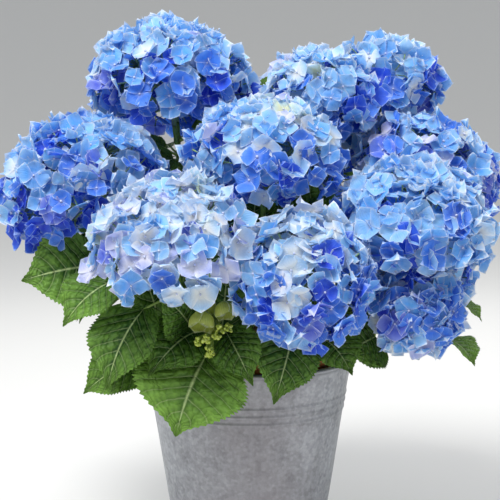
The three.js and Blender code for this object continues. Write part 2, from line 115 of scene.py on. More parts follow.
# A blade's finer form, as shares of its width or, for the sweep and the lean, of its length
BLADE = {
    "widest": 0.391,
    "tooth": 0.055,
    "notch": 0.015,
    "tooth_lean": 0.012,
    "sweep": 0.07,
    "side_veins": 7,
    "quilt": 0.036,
    "valley": 0.012,
    "wave": 0.035,
    "waves": 2.3,
}

# What a leaf tries in turn until it finds room: its size, how much higher its tip lies, and its turn about the stem
SIZE_TRIES = (1, 0.84, 0.7, 0.56)
LIFT_TRIES = (0, 0.5, 1)
SWING_TRIES = (0, 0.4, -0.4, 0.8, -0.8)

# How far up a shoot its pairs of leaves stand, and the inner ones between them
LEAF_LEVELS = [0.32, 0.52, 0.72, 0.9]
INNER_LEVELS = [0.14, 0.22, 0.42, 0.62, 0.81, 0.96]
LEAF_SEED = 210
INNER_SEED = 700
PHASE_SEED = 300
HEAD_SEED = 40
YOUNG_SEED = 9
MIX_SEED = 5

# The bucket's sheet, its rolled ribs and foot, the seam at its back, and its dents: depth, waves round, drift up
BUCKET_WALL = 1.4
RIB_HEIGHTS = (172, 180.5, 189)
RIB_SPREAD = 2.3
FOOT_ROLL = 1.1
SEAM_DEPTH = 0.9
SEAM_HALF_WIDTH = 3.2
DENTS = ((0.22, 3, 37), (0.16, 7, -23))

# The nursery pot's profile, radius and height: out along its underside, up its wall, round its collar and down inside
COLLAR = POT_TOP - POT_COLLAR
POT_PROFILE = [
    [0, 2.3], [71, 2.3], [71.8, 2.7], [72, 3.4], [86, 113], [100.6, COLLAR - 2], [101.2, COLLAR - 0.4], [105, COLLAR],
    [105.7, COLLAR + 0.4], [106, COLLAR + 1.4], [106, POT_TOP - 2], [105.4, POT_TOP - 0.6], [104.4, POT_TOP],
    [100.2, POT_TOP], [99.2, POT_TOP - 0.4], [98.6, POT_TOP - 1.6], [84, 113], [69.7, 6], [69, 5.3], [0, 5.3],
]

# The potting mix: its radius on top and at its foot, its lumps' size and shift, and its loose crumbs
MIX_RADIUS = 96.4
MIX_FOOT_RADIUS = 69.4
MIX_FOOT = 5.6
MIX_LUMPS = ((19, 1.0), (8.3, 2.1), (4.4, 0.4), (2.6, 4.0))
CRUMBS = 420

# Layers of florets on a head: share of a full layer, depth under the dome, and how much they turn from it
FLORET_LAYERS = ((1.0, 8.5, 0.38), (0.4, 19.0, 0.45))
RAYS = 14

# The stage, in metres: where the photograph was taken from, the level part of the floor and the backdrop's height
CAMERA_PLACE = (0.0016, -1.49036, 0.5193)
LEVEL_FLOOR = 2.2
BACKDROP_HEIGHT = 1.9
LIGHTS = (
    ("key_light", (-0.8, -1.1, 2.5), 1.2, 72),
    ("fill_light", (1.9, -1.2, 1.6), 1.6, 12),
    ("back_light", (0.5, 1.8, 2.0), 1.4, 26),
)
LIGHTS_AIM = (0, 0, 0.38)

# Each cane: its foot in the soil and its tip
CANES = {
    "front_left": ([-30, -38], [-46, -62, 292]),
    "front": ([6, -44], [18, -62, 300]),
    "front_right": ([46, -34], [80, -50, 286]),
    "right": ([64, 4], [98, 14, 296]),
    "back_right": ([46, 42], [72, 64, 300]),
    "back": ([2, 58], [2, 88, 300]),
    "back_left": ([-40, 46], [-60, 72, 296]),
    "left": ([-64, 4], [-92, 6, 290]),
    "middle": ([-10, 4], [-22, 12, 306]),
}

# Each flower head: place, centre of its widest ring, lean, radius, rise, its cane, the joint's share of the cane,
# and the name of its colouring
HEADS = [
    ("top_left", [-90, 40, 530], [-0.1, -0.12], 97, 84, "middle", 1, "clear"),
    ("left", [-184, -28, 420], [-0.45, -0.2], 96, 84, "left", 1, "deep"),
    ("centre", [15, -58, 446], [0, -0.28], 91, 76, "front", 1, "periwinkle"),
    ("low_left", [-78, -150, 366], [-0.15, -0.8], 90, 70, "front_left", 1, "pale_lilac"),
    ("low_middle", [56, -152, 334], [0.1, -1.1], 78, 68, "front", 0.55, "pale_blue"),
    ("top_middle", [86, 36, 512], [0.05, -0.2], 75, 68, "middle", 0.6, "clear"),
    ("top_right", [160, 84, 530], [0.25, 0], 70, 68, "back_right", 0.5, "sky"),
    ("right", [204, 28, 428], [0.45, -0.05], 91, 78, "right", 1, "violet"),
    ("front_right", [174, -94, 382], [0.3, -0.6], 88, 74, "front_right", 1, "sky"),
    ("low_right", [176, -100, 302], [1, -1.9], 68, 58, "front_right", 0.5, "faded"),
    ("back_top", [82, 172, 518], [0, 0.3], 74, 64, "back", 0.5, "pale_lilac"),
    ("back_left", [-92, 170, 524], [-0.1, 0.4], 82, 70, "back_left", 1, "clear"),
    ("left_back", [-196, 112, 404], [-0.6, 0.4], 80, 68, "left", 0.5, "periwinkle"),
    ("back_middle", [10, 196, 430], [0, 0.7], 82, 68, "back", 1, "sky"),
    ("back_right", [158, 172, 424], [0.45, 0.5], 82, 70, "back_right", 1, "deep"),
    ("right_low", [208, 104, 322], [0.9, 0.45], 72, 60, "right", 0.5, "clear"),
    ("back_low", [-98, 186, 350], [-0.5, 0.9], 80, 66, "back_left", 0.5, "violet"),
    ("young", [-38, -128, 288], [0, -0.9], 28, 28, "front_left", 0.6, "young"),
]

# The leaves that show in front: shoot, base and tip of the blade, width, how light it is, and the way it faces where it
# isn't outward. How light a leaf is holds painted light and shade: lit leaves are lighter, shaded ones darker
FRONT_LEAVES = [
    ("left", [-166, -60, 339], [-244, -88, 326], 80, 0.35, [-0.3, -1, 0.25]),
    ("left", [-141, -88, 328], [-196, -116, 281], 60, 0.6, None),
    ("low_left", [-111, -104, 299], [-148, -136, 218], 70, 0.25, None),
    ("low_left", [-110, -86, 242], [-177, -104, 206], 60, 0.4, None),
    ("low_left", [-55, -90, 272], [-104, -148, 234], 66, 0.15, None),
    ("low_left", [-63, -94, 278], [-93, -146, 325], 54, 0.15, None),
    ("young", [-46, -112, 248], [-76, -150, 171], 112, 0.95, None),
    ("young", [-24, -106, 274], [5, -156, 226], 50, 0.35, None),
    ("low_middle", [48, -104, 275], [26, -150, 205], 62, 0.15, None),
    ("low_middle", [80, -78, 262], [110, -118, 229], 54, 0.2, None),
    ("low_right", [141, -46, 258], [100, -88, 246], 64, 0.1, None),
    ("low_right", [211, -46, 257], [246, -80, 231], 60, 0.85, None),
    ("right", [228, -34, 294], [258, -50, 275], 38, 0.9, None),
    ("top_left", [-10, 92, 466], [30, 106, 554], 40, 0.5, [0, -1, 0.2]),
    ("top_left", [-86, 24, 452], [-126, 16, 430], 46, 0.2, [-0.2, -1, 0.5]),
    ("top_left", [-58, 32, 438], [-8, 30, 384], 66, 0.2, [0, -1, 0.3]),
    ("top_left", [-58, 50, 456], [-14, 74, 492], 50, 0.3, [0.1, -1, 0.3]),
]

# Shaded leaves behind those, which close the gaps under the heads. Their dark tone is painted shade
SHADED_LEAVES = [
    ("low_left", [-88, -52, 258], [-114, -56, 334], 66, 0.0, [-0.2, -1, 0.3]),
    ("low_left", [-70, -50, 256], [-62, -58, 336], 62, 0.05, [0, -1, 0.3]),
    ("young", [-30, -52, 256], [-22, -58, 344], 66, 0.0, [0, -1, 0.25]),
    ("low_middle", [4, -46, 258], [14, -50, 340], 60, 0.05, [0.1, -1, 0.3]),
    ("low_middle", [60, -40, 256], [104, -40, 318], 64, 0.0, [0.2, -1, 0.3]),
    ("centre", [-4, -34, 340], [-52, -30, 392], 60, 0.0, [-0.1, -1, 0.3]),
    ("centre", [26, -34, 340], [82, -30, 386], 60, 0.0, [0.1, -1, 0.3]),
    ("centre", [42, 4, 352], [98, 12, 430], 64, 0.0, [0.1, -1, 0.3]),
    ("centre", [2, 8, 346], [10, 22, 424], 62, 0.0, [0, -1, 0.3]),
]

# Pair leaves that would cut through the front ones, by their order on the shoot
CROSSING_LEAVES = {"left": (0, 1)}

# How far down a head's florets grow, where it isn't as far as the rest: the cosine of the angle from the lean
SKIRTS = {"low_left": 0.12, "top_left": -0.2, "centre": -0.2, "low_right": -0.55}

# How much deeper than the rest a head's florets sit, in millimetres
INSETS = {"low_right": 8}

# Where the young head's clusters of buds lie about its centre, and its closed florets: centre, radius and the way the
# floret's mouth points
BUD_CLUSTERS = np.array([
    [-15, -18, -18], [-5, -20, -14], [5, -19, -12], [9, -17, -4], [-3, -19, -25], [-1, -17, -32], [18, -12, -4],
    [0, 0, -8], [-10, 3, 3], [11, 4, 6], [1, 12, 10],
], float)
BUDS_IN_CLUSTER = 13

# How much longer than wide a closed floret is
CLOSED_STRETCH = 1.1
CLOSED_FLORETS = [
    ([-10.5, -16.0, 1.0], 12.5, [-0.1, -0.5, -0.86]),
    ([14.0, -12.0, 12.0], 10.5, [0.25, -0.45, -0.86]),
    ([-5.0, 4.0, 17.0], 9.5, [-0.1, 0.1, 1.0]),
]

# Each sepal colour, in the order of the materials: the fading toward the margin, the margin, and the claw. The paler
# fading and the margin are partly the sepal's own colour and partly a painted highlight along its edge
TINTS = {
    "ice": ("#c4e2fd", "#f2f7fe", "#f4f7f5"),
    "sky": ("#c2e0fc", "#f2f7fe", "#cfe0f6"),
    "azure": ("#a9d2f9", "#e8f2fe", "#a9bdf3"),
    "blue": ("#7caef6", "#d2e4fd", "#a9bdf3"),
    "deep": ("#5485ee", "#a9c4fb", "#7f94ec"),
    "violet": ("#a2b4f2", "#d8defb", "#a9bdf3"),
    "lilac": ("#ccd5fd", "#f2f7fe", "#f0effb"),
    "white": ("#d8e8fe", "#f2f7fe", "#faf6f2"),
    "cream": ("#d9edf8", "#f2f7fe", "#e9edc8"),
}
VEIN_COLOUR = "#3a50b8"
VEIN_FAN = 4.5  # half waves of veins on each side of a sepal's middle
EYE_SLOT, STALK_SLOT = len(TINTS), len(TINTS) + 1

# Where a claw's colour starts to fade, where it ends, and its share: on pale sepals it floods most of the sepal
PALE_TINTS = ("ice", "lilac", "white", "cream")
PALE_FLUSH = (0.22, 0.85, 0.96)
FLUSH = (0.02, 0.3, 0.6)
YOUNG_FLUSH = (0.02, 0.45, 0.7)

# How often each sepal colour falls on a floret at the top of a head, and at its skirt. The paler top and darker
# skirt are partly the heads' own colouring and partly painted light from above and painted shade under the skirt
COLOURINGS = {
    "clear": ([0.16, 0.46, 0.32, 0.04, 0, 0, 0.01, 0, 0.01], [0, 0.04, 0.20, 0.44, 0.28, 0.04, 0, 0, 0]),
    "deep": ([0.10, 0.38, 0.38, 0.12, 0.02, 0, 0, 0, 0], [0, 0.02, 0.12, 0.42, 0.38, 0.06, 0, 0, 0]),
    "periwinkle": ([0.22, 0.40, 0.24, 0.02, 0, 0, 0.06, 0.04, 0.02], [0.02, 0.12, 0.34, 0.36, 0.10, 0.06, 0, 0, 0]),
    "pale_lilac": ([0.28, 0.13, 0.02, 0, 0, 0, 0.20, 0.32, 0.05], [0.20, 0.16, 0.14, 0.10, 0.02, 0.06, 0.24, 0.08, 0]),
    "pale_blue": ([0.40, 0.26, 0.04, 0, 0, 0, 0.04, 0.22, 0.04], [0.02, 0.08, 0.18, 0.40, 0.26, 0.04, 0.02, 0, 0]),
    "sky": ([0.26, 0.44, 0.24, 0.02, 0, 0, 0.01, 0.01, 0.02], [0.02, 0.14, 0.36, 0.34, 0.12, 0.02, 0, 0, 0]),
    "violet": ([0.12, 0.30, 0.32, 0.10, 0.02, 0.04, 0.10, 0, 0], [0, 0.04, 0.14, 0.38, 0.28, 0.16, 0, 0, 0]),
    "faded": (
        [0.10, 0.20, 0.30, 0.22, 0.06, 0.02, 0.04, 0.02, 0.04],
        [0.08, 0.16, 0.26, 0.20, 0.06, 0.08, 0.10, 0.02, 0.04],
    ),
}


def linear(code):
    """An sRGB hex colour such as #3f6a28 as linear red, green, blue and full alpha."""
    channels = [int(code[i : i + 2], 16) / 255 for i in (1, 3, 5)]
    return tuple(c / 12.92 if c <= 0.04045 else ((c + 0.055) / 1.055) ** 2.4 for c in channels) + (1.0,)


def about(angles, side, third):
    """Directions round an axis: the side direction times the angle's cosine, plus the third times its sine."""
    return side * np.cos(angles)[..., None] + third * np.sin(angles)[..., None]


def bell(values, middle, spread):
    """A bell curve of 1 at its middle: e to the minus square of the distance from it over the spread."""
    return np.exp(-(((values - middle) / spread) ** 2))


# Growing rules, in millimetres


def unit(vectors):
    """Each vector over its length."""
    vectors = np.asarray(vectors, float)
    return vectors / np.maximum(np.linalg.norm(vectors, axis=-1, keepdims=True), 1e-12)


def crosswise(directions, reference):
    """Two unit directions square to each direction: its cross product with the reference, and the cross with that."""
    side = unit(np.cross(directions, np.broadcast_to(reference, np.shape(directions))))
    return side, np.cross(directions, side)


def stream(seed):
    """A repeatable stream of numbers from 0 to 1: a counter stepped by a fixed amount, then its bits mixed twice."""
    state = seed
    mask = 0xFFFFFFFF

    def draw():
        nonlocal state
        state = (state + 0x6D2B79F5) & mask
        mixed = ((state ^ (state >> 15)) * (state | 1)) & mask
        mixed ^= (mixed + ((mixed ^ (mixed >> 7)) * (mixed | 61))) & mask
        return ((mixed ^ (mixed >> 14)) & mask) / 2**32

    return draw


def curve_points(corners, t):
    """Points of a Bezier curve: neighbouring corners are blended by t again and again until one point is left."""
    t = np.asarray(t, float)[..., None]
    layers = [np.asarray(corner, float) for corner in corners]
    while len(layers) > 1:
        layers = [a * (1 - t) + b * t for a, b in zip(layers, layers[1:])]
    return layers[0]


def curve_direction(corners, t):
    """The way a curve runs: from the point just before t to the point just after it."""
    t = np.asarray(t, float)
    before, after = np.maximum(t - 1e-4, 0), np.minimum(t + 1e-4, 1)
    return unit(curve_points(corners, after) - curve_points(corners, before))


def cane_corners(place):
    """Straight up out of the soil, then leaning to the tip."""
    foot, tip = CANES[place]
    start_height = SOIL_TOP + CLEARANCE
    bend = [foot[0], foot[1], (start_height + tip[2]) / 2]
    return np.array([[foot[0], foot[1], start_height], bend, tip], float)


def bucket_radius(height):
    """Outer radius of the wall, which widens evenly from the foot to the mouth."""
    bucket = bpy.context.scene.hydrangea.bucket
    foot, mouth, top = bucket.foot_radius / MM, bucket.mouth_radius / MM, bucket.height / MM
    return foot + (mouth - foot) * np.asarray(height) / top


def dome_reach(head, directions):
    """Distance from the head's centre to its flattened dome: one over the length of (outward part over radius,
    upward part over depth)."""
    rise = directions @ head["axis"]
    depth = np.where(rise > 0, head["rise"], head["rise"] * HEAD_UNDERSIDE)
    out = np.sqrt(np.maximum(0, 1 - rise**2))
    return 1 / np.hypot(out / head["radius"], rise / depth)


def head_reach(head, directions):
    """The dome's reach, cut short by each wall half way to a neighbour: wall distance over the direction's slope."""
    slopes = directions @ head["wall_normals"].T
    cut = np.where(slopes > 1e-9, head["wall_distances"] / np.maximum(slopes, 1e-9), np.inf)
    return np.minimum(dome_reach(head, directions), cut.min(axis=-1))


def every_reach(heads, directions):
    """The reach of each head in its own row of directions."""
    axes, radii, rises = (np.array([head[key] for head in heads]) for key in ("axis", "radius", "rise"))
    rise = np.einsum("hpi,hi->hp", directions, axes)
    depth = np.where(rise > 0, rises[:, None], rises[:, None] * HEAD_UNDERSIDE)
    dome = 1 / np.hypot(np.sqrt(np.maximum(0, 1 - rise**2)) / radii[:, None], rise / depth)
    slopes = np.einsum("hpi,hwi->hpw", directions, np.array([head["wall_normals"] for head in heads]))
    walls = np.array([head["wall_distances"] for head in heads])[:, None]
    return np.minimum(dome, np.where(slopes > 1e-9, walls / np.maximum(slopes, 1e-9), np.inf).min(axis=-1))


def grown_heads():
    """Every flower head: its place and size, its neck, the walls to its neighbours, and the curve of its shoot. A wall
    stands where two heads that face each other would touch, in the ratio of their reaches."""
    heads = []
    for place, at, lean, radius, rise, cane, joint, colouring in HEADS:
        axis = unit([lean[0], lean[1], 1.0])
        head = {"place": place, "centre": np.array(at, float), "axis": axis, "radius": radius, "rise": rise}
        head |= {"cane": cane, "joint": joint, "colouring": colouring}
        head["neck"] = head["centre"] - axis * (rise * HEAD_UNDERSIDE * HEAD_CORE_SHARE + HEAD_NECK_LENGTH)
        heads.append(head)
    for head in heads:
        others = [other for other in heads if other is not head]
        apart = np.array([other["centre"] - head["centre"] for other in others])
        normals = unit(apart)
        lengths = np.linalg.norm(apart, axis=1)
        mine = dome_reach(head, normals)
        theirs = np.array([dome_reach(other, -normal) for other, normal in zip(others, normals)])
        head["wall_normals"] = normals
        head["wall_distances"] = lengths * mine / (mine + theirs) - CLEARANCE
        head["shoot"] = shoot_corners(head)
    return heads


def shoot_corners(head):
    """A cubic Bezier from the tip or side of the cane, up and out to the neck of the head."""
    cane = cane_corners(head["cane"])
    along = curve_direction(cane, head["joint"])
    from_side = head["joint"] < 1
    end = head["neck"]
    start = curve_points(cane, head["joint"]) + along * (0 if from_side else CLEARANCE)
    length = np.linalg.norm(end - start)
    leave = unit(along + unit(end - start)) if from_side else along
    return np.array([start, start + leave * length * SHOOT_LIFT, end - head["axis"] * length * SHOOT_HEAD_PULL, end])


def segments(corners, count):
    """A curve cut into straight pieces: the start and end of each."""
    points = curve_points(corners, np.linspace(0, 1, count + 1))
    return np.stack([points[:-1], points[1:]], axis=1)


def distances(points, lines):
    """From each point to each segment: the point is dropped square onto the segment, held between its ends."""
    start, along = lines[:, 0], lines[:, 1] - lines[:, 0]
    share = np.clip(((points[:, None] - start) * along).sum(-1) / (along**2).sum(-1), 0, 1)
    return np.linalg.norm(points[:, None] - start - share[..., None] * along, axis=-1)


def leaf_samples(leaves):
    """Points along each leaf's stalk and over its blade, which have to lie in the open."""
    chord = leaves["tip"] - leaves["base"]
    left = unit(np.cross(leaves["face"], chord))
    up = unit(np.cross(chord, left))
    width = leaves["width"][:, None]
    half, stalk = LEAF["thickness"] / 2, LEAF["petiole_half_width"]

    def row(middle, half_width, thick, lift):
        edge, raised = left * half_width, up * lift
        return np.stack([middle + edge + raised, middle + up * thick, middle - edge + raised], axis=1)

    def blade_row(t, share):
        bow = 4 * t * (1 - t) * LEAF["sag"] * np.linalg.norm(chord, axis=1)[:, None]
        half_width = share * width / 2
        return row(leaves["base"] + chord * t + up * bow, half_width, half, half_width * LEAF["fold"])

    root, base = row(leaves["root"], stalk, stalk, 0), row(leaves["base"], stalk, stalk, 0)
    wide, narrow = blade_row(0.3, 1), blade_row(0.68, 0.72)
    tip = np.repeat(leaves["tip"][:, None], 3, axis=1)
    stalk_points = np.stack([(root[:, 1] + base[:, 1]) / 2, base[:, 1]], axis=1)
    halves = [(base + wide) / 2, wide, (wide + narrow) / 2, narrow, (narrow + tip) / 2, tip[:, :1]]
    return np.concatenate([stalk_points, *halves], axis=1)


def leaves_fit(leaves, own, stems, heads):
    """Which leaves are clear of every head and of the rims, and nearer to their own stem than to any other."""
    places = leaf_samples(leaves)
    out = np.hypot(places[..., 0], places[..., 1])
    height = places[..., 2]
    outside = (height > LEAF["highest"]) | (out > LEAF["furthest"])
    on_rim = (height < POT_TOP + LEAF["rim_rise"]) & (out < bucket_radius(height) + LEAF["rim_clearance"])
    before_bucket = (places[..., 1] < LEAF["front_plane"]) & (height < LEAF["front_top"])
    fits = ~(outside | on_rim | before_bucket).any(axis=1)
    tried = np.flatnonzero(fits)
    if len(tried) == 0:
        return fits
    points = places[tried].reshape(-1, 3)
    offsets = points - stems["centres"][:, None]
    lengths = np.linalg.norm(offsets, axis=-1)
    hits = (lengths < every_reach(heads, offsets / lengths[..., None]) + LEAF["clearance"]).any(axis=0)
    near = distances(points, stems["lines"])
    mine = near[:, stems["shoot_spans"][own]].min(axis=1)
    own_cane = stems["canes_of"][own]
    hits |= near[:, stems["cane_spans"][own_cane]].min(axis=1) < CANE_FOOT_RADIUS + LEAF["clearance"]
    others = np.ones(near.shape[1], bool)
    others[stems["shoot_spans"][own]] = False
    others[stems["cane_spans"][own_cane]] = False
    hits |= near[:, others].min(axis=1) <= mine + LEAF["clearance"]
    fits[tried] = ~hits.reshape(len(tried), -1).any(axis=1)
    return fits


def growing_leaves(corners, level, turns, lengths, droops):
    """The leaves that could grow from a stem at a level, each turned by its angle about it, and drooping outward."""
    root = curve_points(corners, level)
    out = unit([root[0], root[1], 0])
    c, s = np.cos(turns), np.sin(turns)
    flat = np.stack([c * out[0] - s * out[1], s * out[0] + c * out[1], np.zeros(len(turns))], axis=1)
    base = root + unit(flat + curve_direction(corners, level) * LEAF["petiole_rise"]) * LEAF["petiole"]
    tip = base + unit(flat - UP * droops[:, None]) * lengths[:, None]
    roots = np.repeat(root[None], len(turns), axis=0)
    face = UP + flat * LEAF["face_lean"]
    return {"root": roots, "base": base, "tip": tip, "face": face, "width": lengths * LEAF["width_share"]}


def paired_leaves(own, levels, draw, stems, heads, size_share=1.0):
    """Opposite pairs up a shoot, a quarter turn from pair to pair. One that finds no room is turned, made smaller,
    or left out."""
    corners = heads[own]["shoot"]
    sizes, lifts, swings = np.array(list(itertools.product(SIZE_TRIES, LIFT_TRIES, SWING_TRIES))).T
    leaves = []
    for pair, level in enumerate(levels):
        for half in (0, 1):
            turn = pair % 2 * math.pi / 2 + half * math.pi + (draw() * 2 - 1) * LEAF["turn_scatter"]
            length = LEAF["shortest"] + (LEAF["longest"] - LEAF["shortest"]) * draw()
            droop = LEAF["least_droop"] + (LEAF["most_droop"] - LEAF["least_droop"]) * draw()
            options = growing_leaves(corners, level, turn + swings, length * sizes * size_share, droop - lifts)
            fitting = np.flatnonzero(leaves_fit(options, own, stems, heads))
            if len(fitting):
                tone = (level * 7.3 + half * 0.37 + own * 0.61) % 1
                leaves.append({key: values[fitting[0]] for key, values in options.items()} | {"tone": tone})
    return leaves


def front_leaf(base, tip, width, tone, face, corners):
    """A leaf with its blade placed as listed, on a stalk from the nearest point of its shoot's middle part."""
    base = np.array(base, float)
    roots = curve_points(corners, np.linspace(0, 1, 25))[4:21]
    root = roots[np.linalg.norm(roots - base, axis=1).argmin()]
    outward = unit([base[0] * 0.3, base[1], 0]) + UP * 0.55
    return {
        "root": root,
        "base": base,
        "tip": np.array(tip, float),
        "face": outward if face is None else np.array(face, float),
        "width": width * 1.08,
        "tone": tone,
    }


@functools.lru_cache(maxsize=1)
def grown_leaves(inner_size):
    """Every shoot's leaves: the pairs and front leaves of the CAD solids, then smaller inner leaves between them."""
    heads = grown_heads()
    on_shoot, on_cane = 8, 4
    before = len(heads) * on_shoot
    lines = [segments(head["shoot"], on_shoot) for head in heads]
    lines += [segments(cane_corners(place), on_cane) for place in CANES]
    stems = {
        "lines": np.concatenate(lines),
        "shoot_spans": [slice(i * on_shoot, (i + 1) * on_shoot) for i in range(len(heads))],
        "cane_spans": {place: slice(before + i * on_cane, before + (i + 1) * on_cane) for i, place in enumerate(CANES)},
        "canes_of": [head["cane"] for head in heads],
        "centres": np.array([head["centre"] for head in heads]),
    }
    grown = {}
    for own, head in enumerate(heads):
        pairs = paired_leaves(own, LEAF_LEVELS, stream(LEAF_SEED + own), stems, heads)
        main = [leaf for order, leaf in enumerate(pairs) if order not in CROSSING_LEAVES.get(head["place"], ())]
        for place, *placed in FRONT_LEAVES + SHADED_LEAVES:
            if place == head["place"]:
                main.append(front_leaf(*placed, head["shoot"]))
        inner = paired_leaves(own, INNER_LEVELS, stream(INNER_SEED + own), stems, heads, inner_size)
        grown[head["place"]] = {"main": main, "inner": inner}
    return grown


# Surfaces: grids of points, in millimetres


def pattern_grid(rows, columns):
    """Pattern coordinates of a grid: across the columns from 0 to 1, along the rows from 0 to 1."""
    return np.stack(np.meshgrid(np.linspace(0, 1, columns), np.linspace(0, 1, rows)), axis=-1)


class Sheets:
    """Gathers grids of points for one piece. Each grid has shape (count, rows, columns, 3), and comes with its
    material numbers, a tone for each of its sheets, and pattern coordinates of shape (rows, columns, 2) where they
    aren't those of pattern_grid."""

    def __init__(self):
        self.points, self.patterns, self.faces, self.slots, self.tones = [], [], [], [], []
        self.sheets, self.cells = [], []
        self.corner_count = 0
        self.sheet_count = 0

    def add(self, points, slot=0, tone=0.5, pattern=None):
        count, rows, columns = points.shape[:3]
        grid = pattern_grid(rows, columns)
        pattern = grid if pattern is None else pattern
        index = np.arange(count * rows * columns).reshape(count, rows, columns) + self.corner_count
        quads = np.stack([index[:, :-1, :-1], index[:, :-1, 1:], index[:, 1:, 1:], index[:, 1:, :-1]], axis=-1)
        cell = np.arange(count) + self.sheet_count
        self.points.append(points.reshape(-1, 3))
        self.patterns.append(np.broadcast_to(pattern, (count, rows, columns, 2)).reshape(-1, 2))
        self.faces.append(quads.reshape(-1, 4))
        self.slots.append(np.repeat(np.broadcast_to(slot, count), (rows - 1) * (columns - 1)))
        self.tones.append(np.repeat(np.broadcast_to(tone, count), rows * columns))
        self.sheets.append(np.repeat(cell, rows * columns))
        self.cells.append((grid.reshape(1, -1, 2), cell))
        self.corner_count += count * rows * columns
        self.sheet_count += count
        return self

    def piece(self, name, materials, slot_name, replaced=()):
        """Makes the mesh object of triangles. Corners of one sheet that share a place become one corner, which closes
        its seams and poles, and triangles without width are left out. Its bake map gives every sheet a square cell."""
        points = np.concatenate(self.points) * MM
        corners = np.concatenate(self.faces)[:, [0, 1, 2, 0, 2, 3]].reshape(-1, 3)
        slots = np.repeat(np.concatenate(self.slots), 2)
        places = np.column_stack([np.concatenate(self.sheets), np.round(points / WELD + WELD_SHIFT).astype(np.int64)])
        kept, welded = np.unique(places, axis=0, return_index=True, return_inverse=True)[1:]
        faces = welded.reshape(-1)[corners]
        wide = (faces[:, 0] != faces[:, 1]) & (faces[:, 1] != faces[:, 2]) & (faces[:, 2] != faces[:, 0])
        faces, corners, slots = faces[wide], corners[wide].ravel(), slots[wide]
        across = math.ceil(math.sqrt(self.sheet_count))
        bake = []
        for grid, cell in self.cells:
            corner = np.stack([cell % across, cell // across], axis=-1)[:, None]
            bake.append(((corner + BAKE_MARGIN + (1 - 2 * BAKE_MARGIN) * grid) / across).reshape(-1, 2))
        mesh = bpy.data.meshes.new(name)
        mesh.vertices.add(len(kept))
        mesh.vertices.foreach_set("co", points[kept].astype(np.float32).ravel())
        mesh.loops.add(faces.size)
        mesh.loops.foreach_set("vertex_index", faces.ravel().astype(np.int32))
        mesh.polygons.add(len(faces))
        mesh.polygons.foreach_set("loop_start", np.arange(0, faces.size, 3, dtype=np.int32))
        mesh.polygons.foreach_set("material_index", slots.astype(np.int32))
        mesh.polygons.foreach_set("use_smooth", np.ones(len(faces), bool))
        mesh.update(calc_edges=True)
        for layer_name, values in (("Pattern", np.concatenate(self.patterns)), ("OFBake", np.concatenate(bake))):
            layer = mesh.uv_layers.new(name=layer_name)
            layer.data.foreach_set("uv", values[corners].astype(np.float32).ravel())
        tone = mesh.attributes.new("tone", "FLOAT", "POINT")
        tone.data.foreach_set("value", np.concatenate(self.tones)[kept].astype(np.float32))
        for material in materials:
            mesh.materials.append(material)
        made = bpy.data.objects.new(name, mesh)
        bpy.context.scene.collection.objects.link(made)
        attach(made, "root")
        if replaced:
            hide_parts(*replaced)
        return made


def tubes(paths, radii, sides, reference=LEVEL_REFERENCE, relief=None):
    """Round tubes along paths of shape (count, steps, 3): each point carries a ring square to the path, and the ends
    are drawn in to a point."""
    ahead = unit(np.gradient(paths, axis=1))
    side, third = crosswise(ahead, reference)
    angle = np.linspace(0, 2 * math.pi, sides + 1)
    radii = np.broadcast_to(radii, paths.shape[:2]).astype(float)
    ring = about(angle, side[:, :, None], third[:, :, None])
    swell = radii[:, :, None] if relief is None else radii[:, :, None] + relief(angle)
    points = paths[:, :, None] + ring * swell[..., None]
    first = np.repeat(paths[:, :1, None], sides + 1, axis=2)
    last = np.repeat(paths[:, -1:, None], sides + 1, axis=2)
    return np.concatenate([first, points, last], axis=1)


def turned_surface(outline, sides, relief=None):
    """An outline of radius and height pairs, swept once round the vertical axis. Relief adds to the radius."""
    outline = np.asarray(outline, float)
    angle = np.linspace(0, 2 * math.pi, sides + 1)
    radius = np.repeat(outline[:, :1], sides + 1, axis=1)
    height = np.repeat(outline[:, 1:], sides + 1, axis=1)
    if relief is not None:
        radius = radius + relief(radius, height, angle[None])
    return np.stack([radius * np.cos(angle), radius * np.sin(angle), height], axis=-1)[None]


def beads(centres, radius, rings, sides, squash, facing, lobes=0.0):
    """Small closed balls: rings of points whose radius follows the sine of the ring's angle, and swells by the share
    lobes four times round. The squash is a ball's height over its width, and its poles lie along the facing."""
    down = np.linspace(0, math.pi, rings + 1)
    angle = np.linspace(0, 2 * math.pi, sides + 1)
    ring = np.sin(down)[:, None] * (1 + lobes * np.cos(4 * angle))
    height = np.broadcast_to(-np.cos(down)[:, None] * squash, ring.shape)
    local = np.stack([ring * np.cos(angle), ring * np.sin(angle), height], axis=-1)
    side, third = crosswise(facing, TALL_REFERENCE)
    axes = np.stack([side, third, facing], axis=1)
    return centres[:, None, None] + np.einsum("rsa,nab->nrsb", local, axes) * radius[:, None, None, None]


